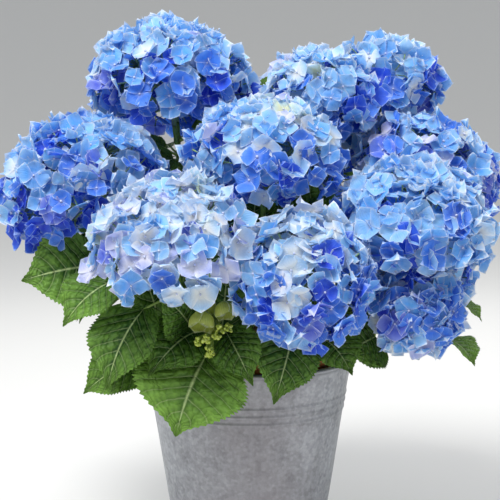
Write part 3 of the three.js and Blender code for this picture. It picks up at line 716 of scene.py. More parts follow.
def blade_surface(leaves, rows, columns, phase):
    """Leaf blades. Along the midrib the blade rises in a shallow arch. Its half width is s to the power 0.55 times
    (1 - s) to the power 0.85, narrowed near s = 1, so it is broad low down and drawn out to a point. Its base sweeps
    back, its halves fold up from the midrib, its surface bulges between the side veins, its margin waves, and every
    second row stands out as a tooth."""
    s = np.linspace(0, 1, rows)[None, :, None]
    t = np.linspace(-1, 1, columns)[None, None]
    base, tip, face = (np.array([leaf[key] for leaf in leaves]) for key in ("base", "tip", "face"))
    width = np.array([leaf["width"] for leaf in leaves], float)[:, None, None]
    chord = tip - base
    length = np.linalg.norm(chord, axis=1)[:, None, None]
    left = unit(np.cross(face, chord))
    up = unit(np.cross(chord, left))
    away = np.abs(t)

    tooth_row = (np.arange(rows) % 2)[None, :, None]
    on_margin = away > 0.999
    ends = np.clip(s / 0.06, 0, 1) * np.clip((1 - s) / 0.05, 0, 1)
    tooth = np.where(on_margin, (tooth_row * BLADE["tooth"] - (1 - tooth_row) * BLADE["notch"]) * ends, 0)
    narrowing = 1 - 0.6 * np.clip((s - 0.6) / 0.3, 0, 1) ** 2
    breadth = s**0.55 * (1 - s) ** 0.85 / BLADE["widest"] * narrowing
    half = width / 2 * breadth * (1 + tooth) * t

    along = s * length - BLADE["sweep"] * length * away**2 * (1 - s) ** 9 * np.clip(s / 0.02, 0, 1)
    along = along + np.where(on_margin, tooth_row * BLADE["tooth_lean"] * length * ends, 0)

    slant = 0.42 * away**1.15 * (1.1 - s) ** 0.6
    vein = np.maximum((s - slant) * BLADE["side_veins"], -0.5)
    groove = np.abs(vein - np.round(vein)) * 2
    quilt = (groove**0.6 - 0.6) * BLADE["quilt"] * width * np.clip(away * 3, 0, 1) * (1 - 0.6 * away**3)
    valley = -BLADE["valley"] * width * bell(away, 0, 0.1)
    rolling = np.sin(2 * math.pi * (BLADE["waves"] * s + phase[:, None, None]) + t)
    wave = BLADE["wave"] * width * rolling * away**3 * np.clip(s * 6, 0, 1)
    arch = 4 * s * (1 - s) * LEAF["sag"] * length
    lift = arch + np.abs(half) * LEAF["fold"] + (quilt + valley) * ends + wave * (1 - s**6)

    def carried(axis, amount):
        return axis[:, None, None] * amount[..., None]

    return base[:, None, None] + carried(unit(chord), along) + carried(left, -half) + carried(up, lift)


def sepal_grid():
    """Steps along a sepal, s from 0 at its claw to 1 at its point, and across it, t from -1 to 1 at its margins."""
    s = np.array([0, 0.15, 0.34, 0.52, 0.7, 0.86, 1.0])
    t = np.linspace(-1, 1, 5)
    pattern = np.stack(np.meshgrid(s, (t + 1) / 2, indexing="ij"), axis=-1)
    return s[None, None, :, None], t[None, None, None], pattern


def floret_surface(centres, facing, turns, spans, lifts, chance):
    """Four sepals round each centre, a quarter turn apart. A sepal's half width is 1 - |2 s - 1| to a power of 1.05
    to 1.5, so it is broadest half way up, with a blunt point. It rises or droops with s squared, is folded along its
    middle by |t| and cupped by t squared, ruffled by a sine and turned up or down at its point, and opposite sepals
    lie over the other two."""
    s, t, pattern = sepal_grid()
    side, third = (axis[:, None, None, None] for axis in crosswise(facing, TALL_REFERENCE))
    shape = (len(centres), 4, 1, 1)
    spans, lifts = spans[:, None, None, None], lifts[:, None, None, None]
    quarter = np.arange(4)[None, :, None, None]
    angle = turns[:, None, None, None] + quarter * math.pi / 2 + chance.normal(0, 0.09, shape)
    reach = spans * (0.04 + 0.96 * s) * (1 + chance.uniform(-0.14, 0.08, shape))
    breadth = 1 - np.abs(2 * s - 1) ** chance.uniform(1.05, 1.5, shape)
    skew = chance.uniform(-0.16, 0.16, shape) * s
    half = spans * (chance.uniform(0.57, 0.74, shape) * (0.12 * (1 - s) + breadth) * t + skew)
    over = np.where(quarter % 2 == 0, 0.05, -0.03)
    bend = lifts + chance.uniform(-0.28, 0.28, shape)
    cup = (chance.uniform(-0.08, 0.2, shape) * t**2 + chance.uniform(-0.06, 0.3, shape) * np.abs(t)) * s
    ruffle = chance.uniform(0.05, 0.16, shape) * np.sin(3.8 * t + chance.uniform(0, 6.28, shape) + 3 * s)
    ruffle = ruffle * s * (0.3 + 0.7 * t**2)
    point = chance.uniform(-0.26, 0.3, shape) * s**4 * (1 - t**2)
    height = spans * (bend * s**2 + over * np.minimum(1, 3 * s) + cup + ruffle + point)
    reach = reach * np.sqrt(np.maximum(0.35, 1 - (bend * s) ** 2))
    out = about(angle, side, third) * reach[..., None] + about(angle - math.pi / 2, side, third) * half[..., None]
    points = centres[:, None, None, None] + out + facing[:, None, None, None] * height[..., None]
    return points.reshape(-1, *pattern.shape[:2], 3), pattern


def closed_floret_surface(centres, facing, radii, closing):
    """Four sepals wrapped round a ball. A sepal climbs from the ball's foot by s times the closing angle, and turns to
    either side by 1.05 t times the root of 1 - s to the sixth. Its margins stand off the ball by t squared, and every
    second sepal lies over its neighbours."""
    s, t, pattern = sepal_grid()
    side, third = (axis[:, None, None, None] for axis in crosswise(facing, TALL_REFERENCE))
    climb = s * closing
    quarter = np.arange(4)[None, :, None, None]
    turn = quarter * math.pi / 2 + 1.05 * t * np.sqrt(1 - s**6)
    radius = radii[:, None, None, None] * np.where(quarter % 2 == 0, 1.07, 1.0) * (1 + 0.07 * t**2 * s)
    out = about(turn, side, third) * (radius * np.sin(climb))[..., None]
    height = -radius * np.cos(climb) * CLOSED_STRETCH
    points = centres[:, None, None, None] + out + facing[:, None, None, None] * height[..., None]
    return points.reshape(-1, *pattern.shape[:2], 3), pattern


def dome_directions(head, rise, turn):
    """Directions from a head's centre: rise along its axis, and the root of 1 - rise squared out from it, at a turn."""
    side, third = crosswise(head["axis"], LEVEL_REFERENCE)
    return unit(head["axis"] * rise[:, None] + np.sqrt(1 - rise**2)[:, None] * about(turn, side, third))


def bent_stalks(start, middle, end, radii, sides):
    """Tubes along curves of three corners each, with a ring for each of the radii."""
    corners = [start[:, None], middle[:, None], end[:, None]]
    return tubes(curve_points(corners, np.linspace(0, 1, len(radii))[None]), radii, sides, TALL_REFERENCE)


# Materials


def add(tree, kind, inputs=None, **values):
    """Adds one shader node with its settings, and gives each named or numbered input a value or a link. A node given
    as a value stands for its first output in use. Inputs 0, 6 and 7 of a Mix node are its share and two colours."""
    made = tree.nodes.new("ShaderNode" + kind)
    for key, value in values.items():
        setattr(made, key, value)
    for key, value in (inputs or {}).items():
        if isinstance(value, bpy.types.Node):
            value = next(output for output in value.outputs if output.enabled)
        if isinstance(value, bpy.types.NodeSocket):
            tree.links.new(value, made.inputs[key])
        else:
            made.inputs[key].default_value = value
    return made


def scale_of(size_mm):
    """A texture's scale for a pattern whose grains are this many millimetres across."""
    return 1 / (size_mm * MM)


def blank_material(name):
    """A material without nodes, and its node tree."""
    material = bpy.data.materials.new(name)
    material.use_nodes = True
    material.node_tree.nodes.clear()
    return material, material.node_tree


def places_on_blade(tree):
    """Where a point lies on a sepal or leaf, from its Pattern map: along it from 0 to 1, across it from -1 to 1, and
    away from its middle line."""
    place = add(tree, "UVMap", uv_map="Pattern")
    split = add(tree, "SeparateXYZ", {0: place})
    across = add(tree, "Math", {0: split.outputs["Y"], 1: 2.0, 2: -1.0}, operation="MULTIPLY_ADD")
    away = add(tree, "Math", {0: across}, operation="ABSOLUTE")
    return split.outputs["X"], across, away


def thin_surface(tree, colour, bump, gloss, glow):
    """Ends the material of a thin living sheet: a skin of half roughness, and the share of light that passes."""
    finish = {"Base Color": colour, "Roughness": 0.5, "Specular IOR Level": gloss, "Normal": bump}
    skin = add(tree, "BsdfPrincipled", finish)
    through = add(tree, "BsdfTranslucent", {"Color": colour})
    both = add(tree, "MixShader", {0: glow, 1: skin, 2: through})
    add(tree, "OutputMaterial", {"Surface": both})


def sepal_material(name, tint, rim, margin, claw, glow, flush):
    """A living hydrangea sepal: thin, dull and slightly see-through, pale at its claw, paler again toward its crisp
    margin, with fine darker veins that fan out to it. The paler fading and the margin are partly the sepal's own colour
    and partly a painted highlight along its edge. Each sepal is a little lighter or darker than the next, and its tone
    also holds painted light, which makes the florets high on a head lighter. Flush is where the claw's colour starts to
    fade, where it ends, and its share. The real crinkles are about 1 mm apart, and are drawn 6 mm apart so that they
    show."""
    material, tree = blank_material(name)
    along, across, away = places_on_blade(tree)
    where = add(tree, "TexCoord").outputs["Object"]
    edge = add(tree, "Math", {0: away, 1: along, 2: 0.25}, operation="SMOOTH_MAX")
    ragged = add(tree, "TexNoise", {"Vector": where, "Scale": scale_of(4), "Detail": 2.0})
    uneven = add(tree, "Math", {0: ragged, 1: 0.36, 2: edge}, operation="MULTIPLY_ADD")
    # The paler fading and the crisp margin are partly the sepal's own colour and partly a painted highlight along its
    # edge
    fading = add(tree, "MapRange", {"Value": uneven, "From Min": 0.55, "From Max": 1.15, "To Max": 0.7})
    on_rim = add(tree, "MapRange", {"Value": uneven, "From Min": 1.04, "From Max": 1.16, "To Max": 0.9})
    fade, end, claw_share = flush
    reach = {"From Min": fade, "From Max": end, "To Min": claw_share, "To Max": 0.0}
    on_claw = add(tree, "MapRange", {"Value": along} | reach)
    # The tone sets the lightness: besides its random part it holds painted light, lighter on the florets high on a head
    tone = add(tree, "Attribute", attribute_name="tone").outputs["Fac"]
    value = add(tree, "MapRange", {"Value": tone, "To Min": 0.62, "To Max": 1.04})
    mottle = add(tree, "TexNoise", {"Vector": where, "Scale": scale_of(6), "Detail": 3.0})
    mottled = add(tree, "Math", {0: mottle, 1: 0.36, 2: value}, operation="MULTIPLY_ADD")
    hue = add(tree, "MapRange", {"Value": tone, "To Min": 0.51, "To Max": 0.492})
    varied = add(tree, "HueSaturation", {"Hue": hue, "Value": mottled, "Color": tint})
    veins = add(tree, "Math", {0: across, 1: VEIN_FAN * math.pi}, operation="MULTIPLY")
    vein_wave = add(tree, "Math", {0: veins}, operation="SINE")
    vein_size = add(tree, "Math", {0: vein_wave}, operation="ABSOLUTE")
    on_vein = add(tree, "MapRange", {"Value": vein_size, "From Max": 0.35, "To Min": 0.16, "To Max": 0.0})
    veined = add(tree, "Mix", {0: on_vein, 6: varied, 7: linear(VEIN_COLOUR)}, data_type="RGBA")
    faded = add(tree, "Mix", {0: fading, 6: veined, 7: linear(rim)}, data_type="RGBA")
    clawed = add(tree, "Mix", {0: on_claw, 6: faded, 7: linear(claw)}, data_type="RGBA")
    coloured = add(tree, "Mix", {0: on_rim, 6: clawed, 7: linear(margin)}, data_type="RGBA")
    crinkled = add(tree, "Math", {0: mottle, 1: 3.0, 2: vein_size}, operation="MULTIPLY_ADD")
    bump = add(tree, "Bump", {"Height": crinkled, "Strength": 0.45, "Distance": 0.0006})
    thin_surface(tree, coloured, bump, 0.4, glow)
    return material


def leaf_material(name, dark, light, vein, glow):
    """A hydrangea leaf: leathery, satin and quilted. A pale midrib and six pairs of side veins that curve to the tip
    lie in creases darkened by painted shade, and finer rungs pucker the skin that swells between them, with painted
    shade in the puckers and at the rungs. The outer part and the tip are a lighter green."""
    material, tree = blank_material(name)
    along, _, away = places_on_blade(tree)
    where = add(tree, "TexCoord").outputs["Object"]
    tone = add(tree, "Attribute", attribute_name="tone").outputs["Fac"]

    # How far the nearest side vein is, in shares of the step from vein to vein
    curved = add(tree, "Math", {0: away, 1: 1.15}, operation="POWER")
    to_tip = add(tree, "Math", {0: 1.1, 1: along}, operation="SUBTRACT")
    slowed = add(tree, "Math", {0: to_tip, 1: 0.6}, operation="POWER")
    slant = add(tree, "Math", {0: curved, 1: slowed}, operation="MULTIPLY")
    sloping = add(tree, "Math", {0: slant, 1: -0.42, 2: along}, operation="MULTIPLY_ADD")
    wander = add(tree, "TexNoise", {"Vector": where, "Scale": scale_of(22), "Detail": 2.0})
    strayed = add(tree, "Math", {0: wander, 1: 0.04, 2: sloping}, operation="MULTIPLY_ADD")
    counted = add(tree, "Math", {0: strayed, 1: 7.0, 2: -0.14}, operation="MULTIPLY_ADD")
    turns = add(tree, "Math", {0: counted, 1: -0.5}, operation="MAXIMUM")
    nearest = add(tree, "Math", {0: turns}, operation="ROUND")
    apart = add(tree, "Math", {0: turns, 1: nearest}, operation="SUBTRACT")
    from_vein = add(tree, "Math", {0: apart}, operation="ABSOLUTE")

    # Veins thin out toward the margin and the tip
    thinning = add(tree, "MapRange", {"Value": away, "To Min": 0.085, "To Max": 0.04})
    side_vein = add(tree, "MapRange", {"Value": from_vein, "From Max": thinning, "To Min": 0.48, "To Max": 0.0})
    midrib_width = add(tree, "MapRange", {"Value": along, "To Min": 0.045, "To Max": 0.035})
    midrib = add(tree, "MapRange", {"Value": away, "From Max": midrib_width, "To Min": 1.0, "To Max": 0.0})
    veins = add(tree, "Math", {0: side_vein, 1: midrib}, operation="MAXIMUM")
    pucker = add(tree, "TexVoronoi", {"Vector": where, "Scale": scale_of(4.4)}, feature="SMOOTH_F1")
    mottle = add(tree, "TexNoise", {"Vector": where, "Scale": scale_of(16.5), "Detail": 4.0})

    # Rungs from vein to vein, bent and jittered so that no two look alike
    bent = add(tree, "Math", {0: wander, 1: 14.0, 2: nearest}, operation="MULTIPLY_ADD")
    jittered = add(tree, "Math", {0: mottle, 1: 9.0, 2: bent}, operation="MULTIPLY_ADD")
    climbing = add(tree, "Math", {0: away, 1: 15.0, 2: jittered}, operation="MULTIPLY_ADD")
    rung_wave = add(tree, "Math", {0: climbing}, operation="SINE")
    rungs = add(tree, "Math", {0: rung_wave}, operation="ABSOLUTE")

    # Lightness of the green, with painted shade in the puckers, at the rungs and in the creases beside the veins and
    # midrib
    outer = add(tree, "MapRange", {"Value": away, "From Min": 0.4, "To Max": 0.22})
    tipward = add(tree, "MapRange", {"Value": along, "From Min": 0.3, "To Max": 0.42})
    shaded = add(tree, "Math", {0: tone, 1: 0.4, 2: tipward}, operation="MULTIPLY_ADD")
    mottled = add(tree, "Math", {0: mottle, 1: 0.5, 2: shaded}, operation="MULTIPLY_ADD")
    pucker_shaded = add(tree, "Math", {0: pucker, 1: -0.25, 2: mottled}, operation="MULTIPLY_ADD")
    rung_shaded = add(tree, "Math", {0: rungs, 1: 0.16, 2: pucker_shaded}, operation="MULTIPLY_ADD")
    lighter = add(tree, "Math", {0: rung_shaded, 1: outer}, operation="ADD")
    # Painted shade in the creases beside the side veins, and in the fold along the midrib
    beside = {"From Min": 0.03, "From Max": 0.35, "To Min": 0.25, "To Max": 0.0}
    crease_shade = add(tree, "MapRange", {"Value": from_vein} | beside)
    fold = add(tree, "MapRange", {"Value": away, "From Min": 0.03, "From Max": 0.2, "To Min": 0.24, "To Max": 0.0})
    crease_shaded = add(tree, "Math", {0: lighter, 1: crease_shade}, operation="SUBTRACT")
    folded = add(tree, "Math", {0: crease_shaded, 1: fold}, operation="SUBTRACT")
    lightness = add(tree, "MapRange", {"Value": folded, "From Min": 0.1, "From Max": 1.2})
    green = add(tree, "Mix", {0: lightness, 6: dark, 7: light}, data_type="RGBA")
    vein_share = add(tree, "Math", {0: veins, 1: 0.85}, operation="MULTIPLY")
    coloured = add(tree, "Mix", {0: vein_share, 6: green, 7: linear(vein)}, data_type="RGBA")

    # Relief: the skin swells between the veins
    swelling = add(tree, "Math", {0: from_vein, 1: 0.5}, operation="POWER")
    quilted = add(tree, "Math", {0: swelling, 1: 0.9}, operation="MULTIPLY")
    puffed = add(tree, "Math", {0: pucker, 1: -0.6, 2: quilted}, operation="MULTIPLY_ADD")
    relief = add(tree, "Math", {0: rungs, 1: 0.3, 2: puffed}, operation="MULTIPLY_ADD")
    bump = add(tree, "Bump", {"Height": relief, "Strength": 1.0, "Distance": 0.003})
    thin_surface(tree, coloured, bump, 0.3, glow)
    return material


def flecked_material(name, ground, fleck, grain_mm, roughness, stretch=1.0):
    """A plant's soft or woody skin, or crumbs of potting mix: a dull ground colour with flecks, which stretch up a stem
    and dent it a little. The finest real flecks are under 1 mm, and are drawn 1.2 mm or wider so that they show."""
    material, tree = blank_material(name)
    where = add(tree, "TexCoord").outputs["Object"]
    mapped = add(tree, "Mapping", {"Vector": where, "Scale": (1.0, 1.0, 1.0 / stretch)})
    speckle = add(tree, "TexNoise", {"Vector": mapped, "Scale": scale_of(grain_mm), "Detail": 3.0})
    on_fleck = add(tree, "MapRange", {"Value": speckle, "From Min": 0.5, "From Max": 0.68, "To Max": 0.85})
    coloured = add(tree, "Mix", {0: on_fleck, 6: linear(ground), 7: linear(fleck)}, data_type="RGBA")
    bump = add(tree, "Bump", {"Height": speckle, "Strength": 0.5, "Distance": 0.0006})
    skin = add(tree, "BsdfPrincipled", {"Base Color": coloured, "Roughness": roughness, "Normal": bump})
    add(tree, "OutputMaterial", {"Surface": skin})
    return material


def zinc_material(base, reflected, bright):
    """Hot-dip galvanised sheet: dull grey zinc with a fine spangle 2 to 5 mm across, cloudy stains, faint upright wipe
    marks, and a painted reflection, warm brownish and darker, down the middle of the front and back. The real marks and
    grit are finer than 1 mm, and are drawn 6.6 and 2 mm wide so that they show."""
    material, tree = blank_material("galvanised_zinc")
    where = add(tree, "TexCoord").outputs["Object"]
    spangle = add(tree, "TexVoronoi", {"Vector": where, "Scale": scale_of(3.4)}, feature="SMOOTH_F1")
    crystal = add(tree, "SeparateXYZ", {0: spangle.outputs["Color"]})
    cloud = add(tree, "TexNoise", {"Vector": where, "Scale": scale_of(62), "Detail": 5.0, "Roughness": 0.65})
    long = add(tree, "Mapping", {"Vector": where, "Scale": (1.0, 1.0, 0.06)})
    wipe = add(tree, "TexNoise", {"Vector": long, "Scale": scale_of(6.6), "Detail": 3.0})
    grit = add(tree, "TexNoise", {"Vector": where, "Scale": scale_of(2), "Detail": 2.0})
    first = add(tree, "Math", {0: crystal.outputs["X"], 1: 0.34, 2: cloud}, operation="MULTIPLY_ADD")
    second = add(tree, "Math", {0: wipe, 1: 0.35, 2: first}, operation="MULTIPLY_ADD")
    third = add(tree, "Math", {0: grit, 1: 0.3, 2: second}, operation="MULTIPLY_ADD")
    lightness = add(tree, "MapRange", {"Value": third, "From Min": 0.62, "From Max": 1.3})
    grey = add(tree, "Mix", {0: lightness, 6: base, 7: linear(bright)}, data_type="RGBA")
    # Painted reflection: a warm, darker cloud mixed in down the middle of the front and back, where X is near 0
    reflection_cloud = add(tree, "TexNoise", {"Vector": where, "Scale": scale_of(165), "Detail": 3.0})
    parts = add(tree, "SeparateXYZ", {0: where})
    sideways = add(tree, "Math", {0: parts.outputs["X"]}, operation="ABSOLUTE")
    narrow = {"From Min": 0.02, "From Max": 0.09, "To Min": 0.75, "To Max": 0.0}
    middle = add(tree, "MapRange", {"Value": sideways} | narrow)
    on_reflection = add(tree, "MapRange", {"Value": reflection_cloud, "From Min": 0.3, "From Max": 0.7, "To Min": 0.4})
    painted_reflection = add(tree, "Math", {0: on_reflection, 1: middle}, operation="MULTIPLY")
    coloured = add(tree, "Mix", {0: painted_reflection, 6: grey, 7: linear(reflected)}, data_type="RGBA")
    rough = add(tree, "MapRange", {"Value": crystal.outputs["Y"], "To Min": 0.42, "To Max": 0.56})
    bump = add(tree, "Bump", {"Height": third, "Strength": 0.3, "Distance": 0.0003})
    skin = add(tree, "BsdfPrincipled", {"Base Color": coloured, "Metallic": 0.75, "Roughness": rough, "Normal": bump})
    add(tree, "OutputMaterial", {"Surface": skin})
    return material


def pot_material(colour, dusty):
    """Thermoformed nursery plastic, terracotta-coloured: dull and evenly coloured, with dusty patches of dried mix."""
    material, tree = blank_material("terracotta_coloured_plastic")
    where = add(tree, "TexCoord").outputs["Object"]
    dust = add(tree, "TexNoise", {"Vector": where, "Scale": scale_of(18), "Detail": 5.0})
    on_dust = add(tree, "MapRange", {"Value": dust, "From Min": 0.48, "From Max": 0.75, "To Max": 0.6})
    coloured = add(tree, "Mix", {0: on_dust, 6: linear(colour), 7: linear(dusty)}, data_type="RGBA")
    bump = add(tree, "Bump", {"Height": dust, "Strength": 0.15, "Distance": 0.0005})
    skin = add(tree, "BsdfPrincipled", {"Base Color": coloured, "Roughness": 0.62, "Normal": bump})
    add(tree, "OutputMaterial", {"Surface": skin})
    return material


# Settings


def length_setting(name, description, default):
    """A length in metres."""
    return bpy.props.FloatProperty(name=name, description=description, default=default, unit="LENGTH")


def share_setting(name, description, default, least=0.0):
    """A share of something, up to 1."""
    return bpy.props.FloatProperty(
        name=name, description=description, default=default, min=least, max=1, subtype="FACTOR"
    )


def colour_setting(name, description, code):
    """A colour, which starts at an sRGB hex code."""
    return bpy.props.FloatVectorProperty(
        name=name, description=description, default=linear(code), size=4, subtype="COLOR", min=0, max=1
    )


def group_setting(name, description, kind):
    """The settings of one group of pieces."""
    return bpy.props.PointerProperty(name=name, description=description, type=kind)


class HydrangeaBucketSettings(bpy.types.PropertyGroup):
    height: length_setting("Height", "From the underside to the top of the rim", float(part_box("zinc_bucket")[1][2]))
    foot_radius: length_setting("Foot radius", "Outer radius at the underside", 0.082)
    mouth_radius: length_setting("Mouth radius", "Outer radius of the wall at the rim", 0.1182)
    bead_radius: length_setting("Bead radius", "Radius of the wire rolled into the rim", 0.003)
    rib_depth: length_setting("Rib depth", "How far the rolled ribs stand out", 0.001)
    zinc: colour_setting("Zinc", "The darker grey of the zinc", "#7c7e83")


class HydrangeaFoliageSettings(bpy.types.PropertyGroup):
    inner_size: share_setting("Inner leaf size", "Size of the inner leaves as a share of a full leaf", 0.72, 0.3)
    blade_rows: bpy.props.IntProperty(
        name="Blade rows", description="Rows of points along a full leaf, two to each tooth", default=53, min=9, max=81
    )
    glow: share_setting("Glow", "Share of light that passes through a leaf", 0.16)
    # The dark green is the colour that the painted shade in the creases and on the shaded leaves darkens toward
    dark: colour_setting("Dark green", "Leaf green in the creases and in shaded leaves", "#1f4712")
    light: colour_setting("Light green", "Leaf green at the margin and toward the tip", "#86b44a")


class HydrangeaFlowerSettings(bpy.types.PropertyGroup):
    pitch: length_setting("Floret pitch", "Distance between neighbouring florets", 0.0212)
    smallest: length_setting("Smallest span", "From the middle of a small floret to its tips", 0.0135)
    largest: length_setting("Largest span", "From the middle of a large floret to its tips", 0.0183)
    skirt: bpy.props.FloatProperty(
        name="Skirt", description="Cosine of the angle down to which florets grow", default=-0.3, min=-1, max=1
    )
    glow: share_setting("Glow", "Share of light that passes through a sepal", 0.34)
    ice: colour_setting("Ice blue", "The palest blue sepals, on top of the heads", "#92c9fb")
    sky: colour_setting("Sky blue", "Light blue sepals", "#8ac6f8")
    azure: colour_setting("Azure", "Clear blue sepals", "#60aaf0")
    blue: colour_setting("Blue", "Mid blue sepals, on the sides of the heads", "#3d7eeb")
    deep: colour_setting("Deep blue", "The darkest sepals, at the skirts", "#2450de")
    violet: colour_setting("Violet", "Sepals that turn to violet", "#5b76e4")
    lilac: colour_setting("Lilac", "Pale sepals with a touch of lilac", "#a9b8f7")
    white: colour_setting("White", "Pale sepals of the two lightest heads", "#abcefa")
    cream: colour_setting("Cream", "Half-open sepals, still greenish at the claw", "#add6ef")


class HydrangeaStageSettings(bpy.types.PropertyGroup):
    floor_size: length_setting("Floor size", "Radius of the floor, whose edge curves up as a backdrop", 7.0)
    camera_pitch: bpy.props.FloatProperty(
        name="Camera pitch", description="How far the camera looks down", default=math.radians(6.5), unit="ROTATION"
    )
    camera_lens: bpy.props.FloatProperty(
        name="Lens", description="Focal length on a 36 mm sensor", default=94.99, unit="CAMERA"
    )


class HydrangeaSettings(bpy.types.PropertyGroup):
    bucket: group_setting("Bucket", "Sizes and colour of the bucket", HydrangeaBucketSettings)
    foliage: group_setting("Foliage", "Sizes and colours of the leaves", HydrangeaFoliageSettings)
    flowers: group_setting("Flowers", "Sizes and colours of the florets", HydrangeaFlowerSettings)
    stage: group_setting("Stage", "Floor and camera", HydrangeaStageSettings)


# Operators


class HYDRANGEA_OT_stage(bpy.types.Operator):
    """Camera, pale floor and soft studio light"""

    bl_idname = "hydrangea.stage"
    bl_label = "Stage"

    def execute(self, context):
        scene, values = context.scene, context.scene.hydrangea.stage
        camera = bpy.data.cameras.new("camera")
        camera.lens = values.camera_lens
        camera.sensor_width = 36
        camera.clip_end = 200
        view = bpy.data.objects.new("camera", camera)
        view.location = CAMERA_PLACE
        view.rotation_euler = (math.pi / 2 - values.camera_pitch, 0, 0)
        scene.collection.objects.link(view)
        scene.camera = view

        rings, sides = 49, 96
        radius = np.linspace(0, values.floor_size, rings)[:, None]
        climb = np.clip((radius - LEVEL_FLOOR) / (values.floor_size - LEVEL_FLOOR), 0, 1)
        points = turned_surface(np.hstack([radius, BACKDROP_HEIGHT * climb**2]), sides)
        index = np.arange(rings * (sides + 1)).reshape(rings, sides + 1)
        quads = np.stack([index[:-1, :-1], index[1:, :-1], index[1:, 1:], index[:-1, 1:]], axis=-1).reshape(-1, 4)
        mesh = bpy.data.meshes.new("floor")
        mesh.from_pydata(points.reshape(-1, 3).tolist(), [], quads.tolist())
        mesh.polygons.foreach_set("use_smooth", np.ones(len(quads), bool))
        floor = bpy.data.objects.new("floor", mesh)
        scene.collection.objects.link(floor)
        material, tree = blank_material("pale_floor")
        matt = add(tree, "BsdfPrincipled", {"Base Color": linear("#e6e5e2"), "Roughness": 0.8})
        add(tree, "OutputMaterial", {"Surface": matt})
        mesh.materials.append(material)

        scene.world = bpy.data.worlds.new("studio")
        scene.world.use_nodes = True
        sky = scene.world.node_tree
        sky.nodes.clear()
        glow = add(sky, "Background", {"Color": linear("#e9edf2"), "Strength": 0.52})
        add(sky, "OutputWorld", {"Surface": glow})

        for name, place, size, power in LIGHTS:
            light = bpy.data.lights.new(name, "AREA")
            light.size = size
            light.energy = power
            lamp = bpy.data.objects.new(name, light)
            lamp.location = place
            aim = unit(np.subtract(LIGHTS_AIM, place))
            lamp.rotation_euler = (math.acos(-aim[2]), 0, math.atan2(aim[1], aim[0]) - math.pi / 2)
            scene.collection.objects.link(lamp)
        scene.view_settings.view_transform = "Standard"
        return {"FINISHED"}


class HYDRANGEA_OT_bucket(bpy.types.Operator):
    """The zinc bucket: tapered wall, three rolled ribs, a bead round the mouth and a folded seam at the back"""

    bl_idname = "hydrangea.bucket"
    bl_label = "Zinc bucket"

    def execute(self, context):
        values = context.scene.hydrangea.bucket
        height, bead, depth = values.height / MM, values.bead_radius / MM, values.rib_depth / MM
        foot = bucket_radius(0)
        round_ribs = np.linspace(RIB_HEIGHTS[0] - 8, RIB_HEIGHTS[-1] + 7, 97)
        heights = np.unique(np.concatenate([np.linspace(0.8, height - 6, 60), round_ribs]))
        ribs = sum(bell(heights, at, RIB_SPREAD) for at in RIB_HEIGHTS)
        outer_radii = bucket_radius(heights) + ribs * depth + FOOT_ROLL * bell(heights, 3, 2.4)
        bead_height = height - bead
        around = np.radians(np.linspace(-75, 255, 25))
        bead_middle = bucket_radius(bead_height) - BUCKET_WALL / 2
        inner_heights = np.linspace(height - 7, 2.2, 24)
        outline = np.concatenate([
            [[0, 0], [foot * 0.5, 0], [foot - 1, 0], [foot - 0.2, 0.15]],
            np.stack([outer_radii, heights], axis=-1),
            np.stack([bead_middle + bead * np.cos(around), bead_height + bead * np.sin(around)], axis=-1),
            np.stack([bucket_radius(inner_heights) - BUCKET_WALL, inner_heights], axis=-1),
            [[foot - 4, 2], [0, 2]],
        ])

        def relief(radius, level, angle):
            """The seam is a flat-topped ridge at the back. The dents are sines, and fade out at the rim and foot."""
            on_wall = (radius > foot * 0.9) & (level > 0.5)
            below_bead = level < height - 2 * bead - 1
            seam = SEAM_DEPTH * np.exp(-(((angle - math.pi / 2) * radius / SEAM_HALF_WIDTH) ** 4)) * below_bead
            dents = sum(deep * np.sin(waves * angle + level / drift) for deep, waves, drift in DENTS)
            fading = np.clip((height - 8 - level) / 30, 0, 1) * np.clip(level / 20, 0, 1)
            return np.where(on_wall, seam + dents * fading, 0)

        # The second colour is the warm, darker painted reflection down the middle of the front and back
        zinc = zinc_material(tuple(values.zinc), "#7b7376", "#b9bcc2")
        shell = Sheets().add(turned_surface(outline, 192, relief))
        shell.piece("bucket_shell", [zinc], "zinc", ["zinc_bucket"])
        return {"FINISHED"}


class HYDRANGEA_OT_nursery_pot(bpy.types.Operator):
    """The thin pot the shrub was grown in, with its broad collar"""

    bl_idname = "hydrangea.nursery_pot"
    bl_label = "Nursery pot"

    def execute(self, context):
        plastic = pot_material("#c56f45", "#cf9a78")
        pot = Sheets().add(turned_surface(POT_PROFILE, 160))
        pot.piece("nursery_pot_shell", [plastic], "terracotta_plastic", ["nursery_pot"])
        return {"FINISHED"}


